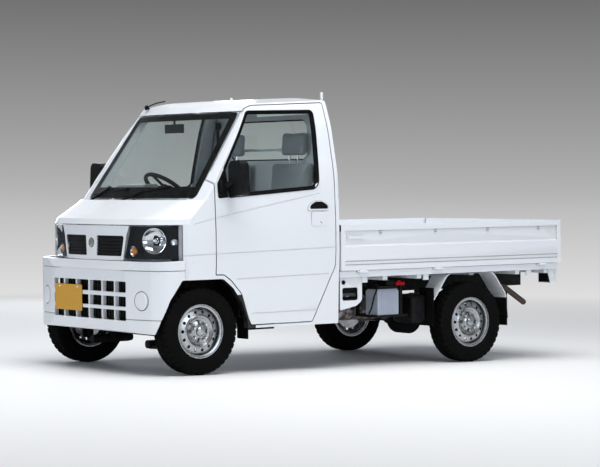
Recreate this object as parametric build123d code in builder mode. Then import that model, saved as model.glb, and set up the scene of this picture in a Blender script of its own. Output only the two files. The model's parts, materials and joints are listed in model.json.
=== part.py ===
from build123d import *
import os

# Kei truck: cab over the front wheels, drop-side bed, all sizes in millimetres.
# The truck is drawn level, with the front axle's middle over x = 0, y = 0 and the
# road at z = 0. The nose points to -Y and the truck's own left side is +X.
# It is then set down as it stands empty: what the springs carry is tipped a little
# nose down about the front axle, and all of it is moved to the middle of its length.

os.makedirs("parts", exist_ok=True)

# Driving dimensions
length = 3399.3
front_overhang = 380.2
wheelbase = 2200
half_width = 737
tyre_radius = 271
tyre_width = 145
wheel_centre_x = 648
rake_deg = 1.1
overrun = 40
cab_overrun = 120
shut_gap = 7
run_gap = 6
touch_gap = 0.3

front_axle_y = front_overhang - length / 2
sprung = Location((0, front_axle_y, tyre_radius), (rake_deg, 0, 0)) * Location((0, 0, -tyre_radius))
unsprung = Location((0, front_axle_y, 0))
rear_hub = sprung.inverse() * unsprung * Location((0, wheelbase, tyre_radius))
rear_axle_y = rear_hub.position.Y
rear_axle_z = rear_hub.position.Z


def keep(piece, name, pose=sprung):
    """Label a finished piece, set it down and write its file."""
    piece.part.label = name
    export_step(piece.part.moved(pose), f"parts/{name}.step")


def profile(plane, corners):
    """Face of a closed outline; each row is (across, up, corner radius)."""
    with BuildSketch(plane) as face:
        with BuildLine():
            FilletPolyline(
                *[(across, up) for across, up, _ in corners],
                radius=[corner for _, _, corner in corners],
                close=True,
            )
        make_face()
    return face.sketch


def both_sides(rows):
    """Outline rows of the +X half followed by their mirror image."""
    return list(rows) + [(-across, up, corner) for across, up, corner in reversed(rows)]


def moved_rows(rows, across, up):
    """The same outline rows, shifted."""
    return [(a + across, u + up, corner) for a, u, corner in rows]


def prism(rows, plane, depth, grow=0):
    """Solid with the given outline, grown or shrunk all round, and depth."""
    with BuildPart() as solid:
        face = profile(plane, rows)
        if grow:
            face = offset(face, amount=grow, mode=Mode.PRIVATE)
        extrude(face, amount=depth)
    return solid.part


def block(low, high):
    """Box between two opposite corners."""
    with BuildPart() as solid:
        with Locations(tuple((a + b) / 2 for a, b in zip(low, high))):
            Box(*[b - a for a, b in zip(low, high)])
    return solid.part


def rod(start, end, radius, bore=0):
    """Round bar or tube between two points."""
    along = Vector(*end) - Vector(*start)
    with BuildPart() as solid:
        with BuildSketch(Plane(origin=start, z_dir=along)):
            Circle(radius)
            if bore:
                Circle(bore, mode=Mode.SUBTRACT)
        extrude(amount=along.length)
    return solid.part


def mirrored(shape):
    """The same solid on the truck's other side."""
    return mirror(shape, about=Plane.YZ, mode=Mode.PRIVATE)


# Cab form
belt_z = 1078
sill_z = 274
cab_rear_y = 1063
rear_corner_radius = 18
form_top_z = 1760
# Cross-section of the cab: rows of (half width, height, corner radius)
section_rows = [
    (714, sill_z, 0),
    (724, 590, 900),
    (half_width, 745, 160),
    (736, 925, 900),
    (722, 1230, 900),
    (655, 1540, 900),
    (589, 1712, 45),
    (250, 1741, 900),
]
# Greenhouse corners: rows of (height, half width)
greenhouse_rows = [(belt_z, 741), (1230, 733), (1540, 667), (form_top_z, 584)]
roof_rise_share = 0.05
roof_rear_z = 1735
roof_front_y = 395
roof_front_z = 1706
roof_front_radius = 100
roof_top_y = 800
roof_crown_radius = 900

# Windscreen, from its lower edge on the centre line
screen_base_y = -52
screen_top_y = 344
screen_top_z = 1640
screen_flat = 250
screen_bow_share = 0.173
screen_bow_radius = 2600
pillar_radius = 42
lean_share = (screen_top_y - screen_base_y) / (screen_top_z - belt_z)

# Nose form: rows of (height, side y, side radius, cheek x, cheek y, cheek radius, front y)
nose_front_y = -347
bonnet_edge_z = 928
nose_flat = 150
nose_bow_radius = 1500
nose_half = 745
nose_rows = [
    (sill_z, -110, 230, 575, -298, 300, nose_front_y),
    (bonnet_edge_z, -110, 230, 575, -298, 300, nose_front_y),
    (963, -92, 230, 575, -279, 300, -328),
    (belt_z, 20, 120, 610, -48, 200, -98),
]

# Wall thicknesses: each is the whole door, roof or panel
side_wall = 42
roof_wall = 22
rear_wall = 28
front_wall = 24
inner_corner = 8


def screen_y(x, z):
    """Outer face of the windscreen at a half width and height."""
    return screen_base_y + lean_share * (z - belt_z) + screen_bow_share * max(x - screen_flat, 0)


def greenhouse(side=0, front=0, top=0, rear=0):
    """Upper cab form, from the belt line to the roof, pulled in by wall thicknesses."""
    corner = max(pillar_radius - side, inner_corner)
    rear_corner = max(rear_corner_radius - rear, inner_corner)
    sections = []
    for z, half in greenhouse_rows:
        x = half - side
        rows = [
            (x, cab_rear_y - rear, rear_corner),
            (x, screen_y(x, z) + front, corner),
            (screen_flat, screen_y(screen_flat, z) + front, screen_bow_radius),
        ]
        sections.append(profile(Plane.XY.offset(z), both_sides(rows)))
    roof_rows = [
        (cab_rear_y - rear, belt_z - overrun, 0),
        (cab_rear_y - rear, roof_rear_z - top, rear_corner),
        (roof_top_y, roof_rear_z - top, roof_crown_radius),
        (roof_front_y, roof_front_z - top, roof_front_radius),
        (screen_base_y - touch_gap + front, belt_z, 0),
        (screen_base_y - overrun, belt_z - overrun, 0),
    ]
    with BuildPart() as form:
        loft(sections, ruled=True)
        extrude(profile(Plane.YZ, roof_rows), amount=half_width, both=True, mode=Mode.INTERSECT)
    return form.part


def nose(side=0, front=0, rear=0):
    """Lower cab form, from the sill to the belt line, pulled in by wall thicknesses."""
    rear_corner = max(rear_corner_radius - rear, inner_corner)
    sections = []
    for z, side_y, side_r, cheek_x, cheek_y, cheek_r, front_y in nose_rows:
        rows = [
            (nose_half - side, cab_rear_y - rear, rear_corner),
            (nose_half - side, side_y + front, side_r - front),
            (cheek_x - front, cheek_y + front, cheek_r - front),
            (nose_flat, front_y + front, nose_bow_radius),
        ]
        sections.append(profile(Plane.XY.offset(z), both_sides(rows)))
    with BuildPart() as form:
        loft(sections, ruled=True)
    return form.part


def cab_form(side=0, front=0, top=0, rear=0):
    """Whole cab form, cut to the cab's cross-section."""
    section = [(x - side, z, corner) for x, z, corner in section_rows[:-2]]
    section += [(x - side, z - top, corner) for x, z, corner in section_rows[-2:]]
    with BuildPart() as across:
        extrude(
            profile(Plane.XZ.offset(-cab_rear_y - overrun), both_sides(section)),
            amount=cab_rear_y - nose_front_y + cab_overrun,
            dir=(0, -1, -roof_rise_share),
        )
    return (nose(side, front, rear) & across.part) + (greenhouse(side, front, top, rear) & across.part)

# Door outline in side view: rows of (y, height, corner radius)
door_rows = [
    (97, 611, 14),
    (97, 1232, 30),
    (138, 1262, 20),
    (415, 1655, 30),
    (470, 1673, 40),
    (1036, 1699, 16),
    (1036, 640, 90),
    (855, 290, 22),
    (372, 290, 12),
    (352, 330, 60),
    (296, 490, 90),
    (215, 575, 60),
    (160, 611, 30),
]
window_rows = [
    (124, 1086, 14),
    (122, 1178, 40),
    (425, 1632, 36),
    (940, 1644, 24),
    (902, 1142, 45),
    (365, 1104, 500),
]
sail_rows = [(110, 1070, 0), (110, 1178, 0), (196, 1292, 0), (196, 1070, 0)]
# Pressed lines along the door and fender, and the pocket and paddle of the door handle
crease_rows = [
    [(-138, 736, 0), (-138, 741, 0), (99, 748, 0), (1070, 768, 0), (1070, 763, 0), (99, 743, 0)],
    [(-60, 929, 0), (-60, 934, 0), (101, 969, 0), (908, 1114, 0), (908, 1109, 0), (101, 964, 0)],
    [(259, 582, 0), (259, 588, 0), (979, 600, 0), (979, 594, 0)],
    [(378, 363, 0), (378, 369, 0), (880, 372, 0), (880, 366, 0)],
]
crease_depth = 2
handle_rows = [
    (811, 1001, 10),
    (988, 1001, 10),
    (988, 1034, 30),
    (930, 1063, 60),
    (868, 1063, 60),
    (811, 1034, 30),
]
handle_floor_x = 710
paddle_low = (719, 836, 1020)
paddle_high = (727, 962, 1070)
arch_rows = [
    (-311, sill_z - overrun, 0),
    (-288, 343, 60),
    (-236, 474, 90),
    (-150, 589, 50),
    (160, 589, 50),
    (235, 530, 60),
    (300, 440, 60),
    (345, 330, 40),
    (352, sill_z - overrun, 0),
]
screen_rows = [(632, 1084, 34), (581, 1628, 44)]
rear_window_rows = [(434, 1328, 60), (434, 1592, 60)]
roof_split_start_y = 195
roof_split_rows = [
    (roof_split_start_y, 1634, 0),
    (roof_front_y, 1634, 0),
    (cab_rear_y + overrun, 1706, 0),
    (cab_rear_y + overrun, form_top_z + overrun, 0),
    (roof_split_start_y, form_top_z + overrun, 0),
]
door_inner_x = 575
# The door's front edge is rolled about its hinge line
door_hinge_x = 731
door_hinge_y = 105.5
door_roll_radius = 9
roll_low_z = 640
arch_cut_x = 400
door_outer_x = 800
flange_depth = 16
flange_overlap = 10
flange_clear = 3
jamb_depth = flange_depth + run_gap
glass_thickness = 5
glass_inset = 14
screen_thickness = 6
lamp_recess = 78
recess_sheet = 8
fender_front_y = -131
cowl_wall = 24
floor_z = 340
floor_sheet = 8

skin = cab_form()
flange_form = cab_form(flange_depth, flange_depth, flange_depth, flange_depth)
jamb_form = cab_form(jamb_depth, jamb_depth, jamb_depth, jamb_depth)
cab_void = cab_form(side_wall, front_wall, roof_wall, rear_wall) - block(
    (-half_width, nose_front_y, belt_z - cowl_wall), (half_width, screen_base_y + front_wall, belt_z)
)
pane_depth = glass_inset + glass_thickness
pane_corners = section_rows[3:7]
pane_rows = [(x - glass_inset, z, corner) for x, z, corner in pane_corners]
pane_rows += [(x - pane_depth, z, corner) for x, z, corner in reversed(pane_corners)]
for end in (0, len(pane_corners) - 1, len(pane_corners), -1):
    pane_rows[end] = (*pane_rows[end][:2], 0)
with BuildPart() as pane:
    extrude(
        profile(Plane.XZ.offset(-cab_rear_y - overrun), pane_rows),
        amount=cab_rear_y - nose_front_y + cab_overrun,
        dir=(0, -1, -roof_rise_share),
    )
crease_form = cab_form(crease_depth, crease_depth, crease_depth, crease_depth)
shell = skin - cab_void

side_plane = Plane.YZ.offset(door_inner_x)
side_depth = door_outer_x - door_inner_x
door_opening = (prism(door_rows, side_plane, side_depth) - jamb_form) + prism(
    door_rows, side_plane, side_depth, -flange_overlap
)
screen_prism = prism(both_sides(screen_rows), Plane.XZ.offset(-cab_rear_y / 2), cab_rear_y)
arch_prism = prism(arch_rows, Plane.YZ.offset(arch_cut_x), door_outer_x - arch_cut_x)
sail_prism = prism(sail_rows, side_plane, side_depth)
creases = [prism(rows, side_plane, side_depth) - crease_form for rows in crease_rows]

# Doors: an outer layer that covers the jamb and a narrower inner layer
with BuildPart() as door_left:
    add((skin & prism(door_rows, side_plane, side_depth, -shut_gap)) - flange_form)
    inner_inset = shut_gap + flange_overlap + flange_clear
    add((flange_form & prism(door_rows, side_plane, side_depth, -inner_inset)) - cab_void)
    add(prism(window_rows, side_plane, side_depth), mode=Mode.SUBTRACT)
    add(
        prism(both_sides(screen_rows), Plane.XZ.offset(-roof_top_y / 2), cab_rear_y, shut_gap / 2),
        mode=Mode.SUBTRACT,
    )
    roll = block((door_hinge_x, fender_front_y, roll_low_z), (door_outer_x, door_hinge_y, belt_z))
    roll -= rod(
        (door_hinge_x, door_hinge_y, roll_low_z - overrun),
        (door_hinge_x, door_hinge_y, belt_z + overrun),
        door_roll_radius,
    )
    add(roll, mode=Mode.SUBTRACT)
    add(prism(handle_rows, Plane.YZ.offset(handle_floor_x), side_wall), mode=Mode.SUBTRACT)
    add(block(paddle_low, paddle_high))
    add(creases, mode=Mode.SUBTRACT)
with BuildPart() as door_glass_left:
    add(pane.part & prism(window_rows, side_plane, side_depth))
    add(sail_prism, mode=Mode.SUBTRACT)

# Cab panels, split where the real panels meet
side_region_x = 560
rear_seam_x = 640
pillar_width = 48
pillar_depth = 54
pillar_inner_x = 570
header_drop = 70
fender_flange_x = 676
rear_panel_low_z = 560
pillar_lean_share = (screen_rows[1][0] - screen_rows[0][0]) / (screen_rows[1][1] - screen_rows[0][1])
pillar_seat = screen_thickness + touch_gap
pillar_base_y = screen_y(pillar_inner_x, belt_z) + pillar_seat
pillar_rows = [
    (pillar_inner_x, pillar_base_y, 0),
    (pillar_inner_x + pillar_width, pillar_base_y + screen_bow_share * pillar_width, 0),
    (pillar_inner_x + pillar_width, pillar_base_y + pillar_depth, 0),
    (pillar_inner_x, pillar_base_y + pillar_depth, 0),
]
pillar_path = Vector(pillar_lean_share, lean_share + pillar_lean_share * screen_bow_share, 1)
pillar_rise = screen_rows[1][1] - belt_z + header_drop
with BuildPart() as pillar:
    extrude(
        profile(Plane.XY.offset(belt_z), pillar_rows),
        amount=pillar_rise * pillar_path.length,
        dir=pillar_path,
    )

roof_zone = prism(roof_split_rows, Plane.YZ.offset(-half_width), half_width + half_width)
screen_zone = block(
    (side_region_x, screen_base_y, door_rows[2][1]), (half_width, roof_front_y + overrun, screen_top_z)
)
corner_zone = block((side_region_x, cab_rear_y - rear_wall, sill_z), (rear_seam_x, cab_rear_y, form_top_z))
with BuildPart() as cab_side_left:
    add(shell & block((side_region_x, fender_front_y, sill_z), (half_width, cab_rear_y, form_top_z)))
    add([roof_zone, door_opening, arch_prism, screen_prism, screen_zone, corner_zone], mode=Mode.SUBTRACT)
    fender_flange = block(
        (fender_flange_x, fender_front_y, arch_rows[3][1]),
        (half_width, fender_front_y + recess_sheet, bonnet_edge_z),
    )
    add(fender_flange & skin)
    add(creases, mode=Mode.SUBTRACT)
side_panel = cab_side_left.part.solids().sort_by(SortBy.VOLUME)[-1]

recess = nose(lamp_recess - recess_sheet, lamp_recess)
recess_back = nose(lamp_recess, lamp_recess + recess_sheet)
ledge_z = bonnet_edge_z + recess_sheet
with BuildPart() as cab_front:
    bonnet = block((-half_width, nose_front_y, bonnet_edge_z), (half_width, fender_front_y, belt_z))
    cowl = block(
        (-side_region_x, fender_front_y, bonnet_edge_z), (side_region_x, screen_base_y + front_wall, belt_z)
    )
    add(shell & bonnet)
    add(shell & cowl)
    ledge = block((-half_width, nose_front_y, bonnet_edge_z), (half_width, fender_front_y, ledge_z))
    add((skin & ledge) - recess)
    wall_zone = block((-half_width, nose_front_y, floor_z), (half_width, fender_front_y, ledge_z))
    add((recess & wall_zone) - recess_back)
    add([arch_prism, mirrored(arch_prism)], mode=Mode.SUBTRACT)
with BuildPart() as cab_roof:
    add(shell & roof_zone)
    add([door_opening, mirrored(door_opening), screen_prism], mode=Mode.SUBTRACT)
    clear_pillar = (pillar.part & skin) - side_panel
    add([clear_pillar, mirrored(clear_pillar)])
with BuildPart() as cab_rear_panel:
    rear_low = (-half_width, cab_rear_y - rear_wall, rear_panel_low_z)
    rear_zone = block(rear_low, (half_width, cab_rear_y, form_top_z))
    add(shell & rear_zone)
    add([roof_zone, side_panel, mirrored(side_panel)], mode=Mode.SUBTRACT)
    add(
        prism(both_sides(rear_window_rows), Plane.XZ.offset(-cab_rear_y - overrun), cab_overrun),
        mode=Mode.SUBTRACT,
    )
for panel, name in (
    (side_panel, "cab_side"),
    (door_left.part, "door"),
    (door_glass_left.part, "door_glass"),
):
    for side, shape in (("left", panel), ("right", mirrored(panel))):
        with BuildPart() as sided:
            add(shape)
        keep(sided, f"{name}_{side}")
for panel, name in (
    (cab_front, "cab_front"),
    (cab_roof, "cab_roof"),
    (cab_rear_panel, "cab_rear_panel"),
):
    keep(panel, name)

# Windscreen and rear window
with BuildPart() as windscreen:
    add((skin & screen_prism) - cab_form(0, screen_thickness))
keep(windscreen, "windscreen")
with BuildPart() as rear_window:
    extrude(
        profile(Plane.XZ.offset(glass_inset - cab_rear_y), both_sides(rear_window_rows)),
        amount=glass_thickness,
    )
keep(rear_window, "rear_window")

# Cab floor: foot well, wheel houses and the box that carries the seats
well_front_y = -258
seat_box_y = 448
seat_deck_z = 722
floor_half = 664
house_inner_x = 412
house_rear_y = 326
house_top_z = 606
seat_box_wall_x = 640
tower_x = 505
tower_radius = 76
tower_top_z = 700
with BuildPart() as cab_floor:
    with BuildSketch(Plane.YZ):
        with BuildLine():
            Polyline(
                (well_front_y, floor_z + floor_sheet),
                (well_front_y, floor_z),
                (seat_box_y + floor_sheet, floor_z),
                (seat_box_y + floor_sheet, seat_deck_z),
                (cab_rear_y - rear_wall, seat_deck_z),
                (cab_rear_y - rear_wall, seat_deck_z + floor_sheet),
                (seat_box_y, seat_deck_z + floor_sheet),
                (seat_box_y, floor_z + floor_sheet),
                close=True,
            )
        make_face()
    extrude(amount=floor_half, both=True)
    for side in (1, -1):
        inner, outer = sorted((side * house_inner_x, side * floor_half))
        add(block((inner, well_front_y, floor_z), (outer, house_rear_y, house_top_z)))
        wheel_room = sorted((side * (house_inner_x + floor_sheet), side * half_width))
        add(
            block(
                (wheel_room[0], well_front_y, floor_z - overrun),
                (wheel_room[1], house_rear_y - floor_sheet, house_top_z - floor_sheet),
            ),
            mode=Mode.SUBTRACT,
        )
        wall = sorted((side * seat_box_wall_x, side * (seat_box_wall_x + floor_sheet)))
        add(block((wall[0], seat_box_y, floor_z), (wall[1], cab_rear_y - rear_wall, seat_deck_z)))
        tower_foot = (side * tower_x, 0, house_top_z - floor_sheet)
        tower_head = (side * tower_x, 0, tower_top_z)
        add(rod(tower_foot, tower_head, tower_radius))
        tower_inner = (side * tower_x, 0, tower_top_z - floor_sheet)
        add(rod(tower_foot, tower_inner, tower_radius - floor_sheet), mode=Mode.SUBTRACT)
    add(recess_back, mode=Mode.INTERSECT)
keep(cab_floor, "cab_floor")

# Front bumper: a moulding with its own outline in plan
bumper_top_z = 704
bumper_side_top_z = 710
bumper_front_y = -369
bumper_wall = 28
bumper_bow = 4
bumper_lip = 12
bumper_half = 735
bumper_plan_rows = [
    (bumper_half, 200, 0),
    (bumper_half, -305, 125),
    (420, bumper_front_y - bumper_bow, 900),
]
bumper_side_rows = [
    (fender_front_y, bumper_side_top_z, 0),
    (nose_front_y, bumper_top_z, 0),
    (-367, 650, 14),
    (bumper_front_y, 575, 60),
    (bumper_front_y, 345, 30),
    (-350, 266, 14),
    (-312, 262, 0),
    *arch_rows[1:3],
    (arch_rows[3][0], arch_rows[3][1], 0),
    (fender_front_y, arch_rows[3][1], 0),
]
# Openings of the lower grille: columns out from the centre, rows in height
intake_columns = [(7, 149), (161, 297), (309, 430)]
intake_levels = [(338, 403), (424, 487), (512, 580)]
intake_corner = 6
blank_centre = (568, 465)
blank_radius = 61
blank_groove = 5
blank_floor_y = -324
bumper_groove_z = (346, 646)
bumper_groove_height = 5
bumper_groove_inset = 7
with BuildPart() as front_bumper:
    add(prism(both_sides(bumper_plan_rows), Plane.XY.offset(sill_z - overrun), bumper_top_z))
    extrude(profile(Plane.YZ, bumper_side_rows), amount=half_width, both=True, mode=Mode.INTERSECT)
    add(
        prism(both_sides(bumper_plan_rows), Plane.XY.offset(sill_z - overrun), bumper_top_z, -bumper_wall)
        & prism(
            moved_rows(bumper_side_rows, bumper_wall, bumper_lip),
            Plane.YZ.offset(-half_width),
            half_width + half_width,
        ),
        mode=Mode.SUBTRACT,
    )
    for side in (1, -1):
        for near, far in intake_columns:
            for low, high in intake_levels:
                centre = (side * (near + far) / 2, (low + high) / 2)
                with BuildSketch(Plane.XZ.offset(-fender_front_y)):
                    with Locations(centre):
                        RectangleRounded(far - near, high - low, intake_corner)
                extrude(amount=-bumper_front_y, mode=Mode.SUBTRACT)
        blank_x = side * blank_centre[0]
        blank_from = (blank_x, bumper_front_y, blank_centre[1])
        blank_to = (blank_x, blank_floor_y, blank_centre[1])
        groove = rod(blank_from, blank_to, blank_radius, blank_radius - blank_groove)
        add(groove, mode=Mode.SUBTRACT)
    for z in bumper_groove_z:
        slab = block((-half_width, bumper_front_y - overrun, z), (half_width, 0, z + bumper_groove_height))
        slab -= prism(
            both_sides(bumper_plan_rows),
            Plane.XY.offset(sill_z - overrun),
            bumper_top_z,
            -bumper_groove_inset,
        )
        add(slab, mode=Mode.SUBTRACT)
keep(front_bumper, "front_bumper")

# Upper grille and headlamps, cut from the nose's own surface
grille_rows = [(398, 923, 4), (369, 858, 0), (340, 722, 8), (342, 707, 6)]
lamp_rows = [(402, 923, 6), (373, 858, 0), (344, 722, 8), (346, 707, 6), (half_width + overrun, 714, 0)]
lamp_rows += [(half_width + overrun, 923, 0)]
opening_rows = [(66, 860, 8), (58, 733, 8), (320, 733, 12), (348, 860, 16)]
grille_wall = 22
tab_centres = (-200, 200)
tab_half = 15
tab_low_z = 896
tab_sheet = 12
tab_y = -331
slat_depth = 6
slat_back = 16
slat_gap_share = 0.45
slat_count = 6
lens_thickness = 4
lamp_gap = 3
lamp_bowl_x = 600
lamp_bowl_z = 833
lamp_bowl_radius = 80
lamp_bowl_floor = 26
nose_belt_half = 720
amber_x = 395
amber_z = 758
amber_radius = 26
nose_depth = fender_front_y - nose_front_y - lamp_gap
nose_plane = Plane.XZ.offset(-fender_front_y + lamp_gap)
nose_rows_across = section_rows[:4] + [(nose_belt_half, belt_z, 0)]
nose_skin = nose() & prism(both_sides(nose_rows_across), nose_plane, nose_depth + overrun)
openings = prism(opening_rows, nose_plane, nose_depth + overrun)
openings += mirrored(openings)
with BuildPart() as upper_grille:
    grille_zone = prism(both_sides(grille_rows), nose_plane, nose_depth + overrun)
    add((nose_skin & grille_zone) - nose(0, grille_wall))
    add(openings, mode=Mode.SUBTRACT)
    for x in tab_centres:
        tab_low = (x - tab_half, tab_y, tab_low_z)
        add(block(tab_low, (x + tab_half, tab_y + tab_sheet, bonnet_edge_z)))
keep(upper_grille, "upper_grille")
slat_pitch = (opening_rows[0][1] - opening_rows[1][1]) / slat_count
with BuildPart() as grille_slats:
    for row in range(slat_count):
        low = opening_rows[1][1] + (row + slat_gap_share) * slat_pitch
        high = low + (1 - slat_gap_share) * slat_pitch
        add(block((-half_width, nose_front_y, low), (half_width, fender_front_y, high)))
    add(nose(0, slat_depth) & openings, mode=Mode.INTERSECT)
    add(nose(0, grille_wall), mode=Mode.SUBTRACT)
    add((nose(0, slat_back) & openings) - nose(0, grille_wall))
keep(grille_slats, "grille_slats")
lamp_zone = prism(lamp_rows, nose_plane, nose_depth + overrun)
lamp_zone += mirrored(lamp_zone)
with BuildPart() as headlamps:
    add((nose_skin & lamp_zone & nose(lens_thickness + touch_gap, lens_thickness + touch_gap)) - recess)
    for side in (1, -1):
        for x, z, radius in (
            (lamp_bowl_x, lamp_bowl_z, lamp_bowl_radius),
            (amber_x, amber_z, amber_radius),
        ):
            with BuildSketch(Plane.XZ.offset(-nose_front_y - lamp_recess + lamp_bowl_floor)):
                with Locations((side * x, z)):
                    Circle(radius)
            extrude(amount=lamp_recess, taper=-lamp_gap, mode=Mode.SUBTRACT)
keep(headlamps, "headlamps")
with BuildPart() as headlamp_lenses:
    add((nose_skin & lamp_zone) - nose(lens_thickness, lens_thickness))
keep(headlamp_lenses, "headlamp_lenses")

# Wheels: a pressed disc in a drop-centre rim on its hub, with the tyre round it.
# Rows are (radius, distance along the axle, outward from the wheel's middle plane).
spindle_radius = 19
bore_play = 0.3
rim_rows = [
    (166.5, 58),
    (166.5, 52),
    (153, 49),
    (153, 24),
    (128, 12),
    (128, -20),
    (153, -34),
    (153, -49),
    (166.5, -52),
    (166.5, -58),
]
rim_sheet = 5
hub_rows = [
    (0, 66),
    (20, 64),
    (27, 58),
    (27, 52),
    (34, 52),
    (46, 47),
    (64, 34),
    (80, 36),
    (96, 46),
    (106, 40),
    (132, 34),
    (149, 29),
    (149, 24),
    (132, 29),
    (106, 35),
    (96, 41),
    (80, 30),
    (62, 28),
    (60, -8),
    (108, -10),
    (108, -22),
    (spindle_radius + bore_play, -22),
    (spindle_radius + bore_play, 40),
    (0, 40),
]
disc_hole_radius = 10.5
disc_hole_ring = 119
disc_hole_count = 14
disc_hole_depth = 24
disc_hole_along = 22
nut_ring = 57
nut_radius = 10
nut_from = 30
nut_length = 26
nut_count = 4
tyre_rows = [
    (153.3, -48.6),
    (153.3, 48.6),
    (166.9, 51.6),
    (166.9, 60),
    (176, 67),
    (206, 72.5),
    (226, 72.5),
    (258, 65),
    (268, 56),
    (271, 40),
]


def revolved(rows):
    """Solid of revolution about the wheel's axle."""
    with BuildPart() as ring:
        with BuildSketch(Plane.XY):
            with BuildLine():
                Polyline(*[(along, radius) for radius, along in rows], close=True)
            make_face()
        revolve(axis=Axis.X)
    return ring.part


with BuildPart() as wheel:
    add(revolved(rim_rows + [(radius - rim_sheet, along) for radius, along in reversed(rim_rows)]))
    add(revolved(hub_rows))
    with BuildSketch(Plane.YZ.offset(disc_hole_along)):
        with PolarLocations(disc_hole_ring, disc_hole_count):
            Circle(disc_hole_radius)
    extrude(amount=disc_hole_depth, mode=Mode.SUBTRACT)
    with BuildSketch(Plane.YZ.offset(nut_from)):
        with PolarLocations(nut_ring, nut_count):
            RegularPolygon(nut_radius, 6)
    extrude(amount=nut_length)
with BuildPart() as tyre:
    add(revolved(tyre_rows + [(radius, -along) for radius, along in reversed(tyre_rows[2:])]))
for end, axle_y in (("front", 0), ("rear", wheelbase)):
    for side, turn in (("left", 0), ("right", 180)):
        reach = wheel_centre_x if side == "left" else -wheel_centre_x
        place = unsprung * Location((reach, axle_y, tyre_radius), (0, 0, turn))
        with BuildPart() as placed_wheel:
            add(wheel.part)
        keep(placed_wheel, f"wheel_{end}_{side}", place)
        with BuildPart() as placed_tyre:
            add(tyre.part)
        keep(placed_tyre, f"tyre_{end}_{side}", place)

# Ladder frame: channel rails that kick up behind the cab, with crossmembers
rail_inner_x = 330
rail_outer_x = 380
rail_sheet = 6
rail_rows = [
    (-240, 282, 0),
    (1000, 282, 60),
    (1180, 440, 60),
    (2960, 440, 0),
    (2960, 536, 0),
    (1130, 536, 60),
    (950, 325, 60),
    (-240, 325, 0),
]
rail_front_y, rail_low_z = rail_rows[0][:2]
rail_front_top_z = rail_rows[-1][1]
rail_bed_low_z = rail_rows[3][1]
bed_seat_z = rail_rows[4][1]
cross_inset = 3
# Crossmembers: rows of (front y, depth along Y, low z, high z)
cross_rows = [
    (-240, 50, 285, 322),
    (360, 50, 285, 322),
    (1290, 50, 443, 533),
    (1860, 50, 443, 533),
    (2520, 50, 443, 533),
    (2910, 50, 443, 533),
]
cab_mount_y = (-120, 400)
cab_mount_radius = 24
rail_middle_x = (rail_inner_x + rail_outer_x) / 2
with BuildPart() as chassis_frame:
    rail = prism(rail_rows, Plane.YZ.offset(rail_inner_x), rail_outer_x - rail_inner_x)
    rail -= prism(
        rail_rows,
        Plane.YZ.offset(rail_inner_x - overrun),
        rail_outer_x - rail_inner_x + overrun - rail_sheet,
        -rail_sheet,
    )
    for y in cab_mount_y:
        mount_low = (rail_middle_x, y, rail_front_top_z - rail_sheet)
        rail += rod(mount_low, (rail_middle_x, y, floor_z), cab_mount_radius)
    add([rail, mirrored(rail)])
    for front_y, depth, low_z, high_z in cross_rows:
        reach = rail_outer_x - rail_sheet
        add(block((-reach, front_y, low_z), (reach, front_y + depth, high_z)))
keep(chassis_frame, "chassis_frame")

# Front suspension: crossmember, lower arms with their ball pins, and the rack
ball_x = 600
ball_z = 178
strut_top_z = 690
ball_gap = 5
ball_pin_radius = 9
ball_pin_rise = 22
cross_half = 330
cross_depth = 62
cross_low_z = 222
arm_rows = [(320, -150, 20), (320, 150, 20), (617, 17, 15), (617, -17, 15)]
arm_low_z = 150
arm_thickness = 20
arm_hole_radius = 34
arm_hole_x = 420
arm_post_x = 330
arm_post_radius = 26
rack_y = 92
rack_z = 300
rack_half = 300
rack_radius = 24


def strut_point(z):
    """Point of the left steering axis at a height."""
    return (ball_x + (tower_x - ball_x) * (z - ball_z) / (strut_top_z - ball_z), 0, z)


with BuildPart() as front_suspension:
    add(block((-cross_half, -cross_depth, cross_low_z), (cross_half, cross_depth, rail_low_z)))
    pad_low = (-rail_outer_x, -cross_depth, rail_low_z - rail_sheet)
    add(block(pad_low, (rail_outer_x, cross_depth, rail_low_z)))
    arm = prism(arm_rows, Plane.XY.offset(arm_low_z), arm_thickness)
    arm -= rod((arm_hole_x, 0, 0), (arm_hole_x, 0, rail_low_z), arm_hole_radius)
    arm += rod((arm_post_x, -arm_rows[1][1], ball_z), (arm_post_x, arm_rows[1][1], ball_z), arm_post_radius)
    arm += block(
        (arm_post_x - arm_post_radius, -arm_post_radius, ball_z),
        (arm_post_x, arm_post_radius, cross_low_z + rail_sheet),
    )
    arm += rod(strut_point(arm_low_z), strut_point(ball_z + ball_pin_rise - ball_gap), ball_pin_radius)
    add([arm, mirrored(arm)])
    add(rod((-rack_half, rack_y, rack_z), (rack_half, rack_y, rack_z), rack_radius))
    add(block((-arm_post_radius, 0, cross_low_z), (arm_post_radius, rack_y, rack_z)))
keep(front_suspension, "front_suspension")

# Front knuckle, turning about the line from the ball joint to the strut's top
knuckle_radius = 20
damper_radius = 22
damper_top_z = 640
strut_rod_radius = 10
spring_seat_radius = 50
spring_seat_z = 566
spring_seat_height = 8
spring_top_z = 676
stub_inner_x = 568
stub_flange_radius = 40
stub_flange_x = 618
spindle_end_x = 682
with BuildPart() as knuckle:
    add(rod(strut_point(ball_z), strut_point(tyre_radius + stub_flange_radius), knuckle_radius))
    add(rod(strut_point(tyre_radius), strut_point(damper_top_z), damper_radius))
    add(rod(strut_point(damper_top_z), strut_point(spring_top_z), strut_rod_radius))
    seat_top = strut_point(spring_seat_z + spring_seat_height)
    add(rod(strut_point(spring_seat_z), seat_top, spring_seat_radius))
    add(rod((stub_inner_x, 0, tyre_radius), (stub_flange_x, 0, tyre_radius), stub_flange_radius))
    add(rod((stub_flange_x, 0, tyre_radius), (spindle_end_x, 0, tyre_radius), spindle_radius))
    add(
        rod(
            strut_point(ball_z - ball_gap),
            strut_point(ball_z + ball_pin_rise),
            ball_pin_radius + bore_play,
        ),
        mode=Mode.SUBTRACT,
    )
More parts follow.
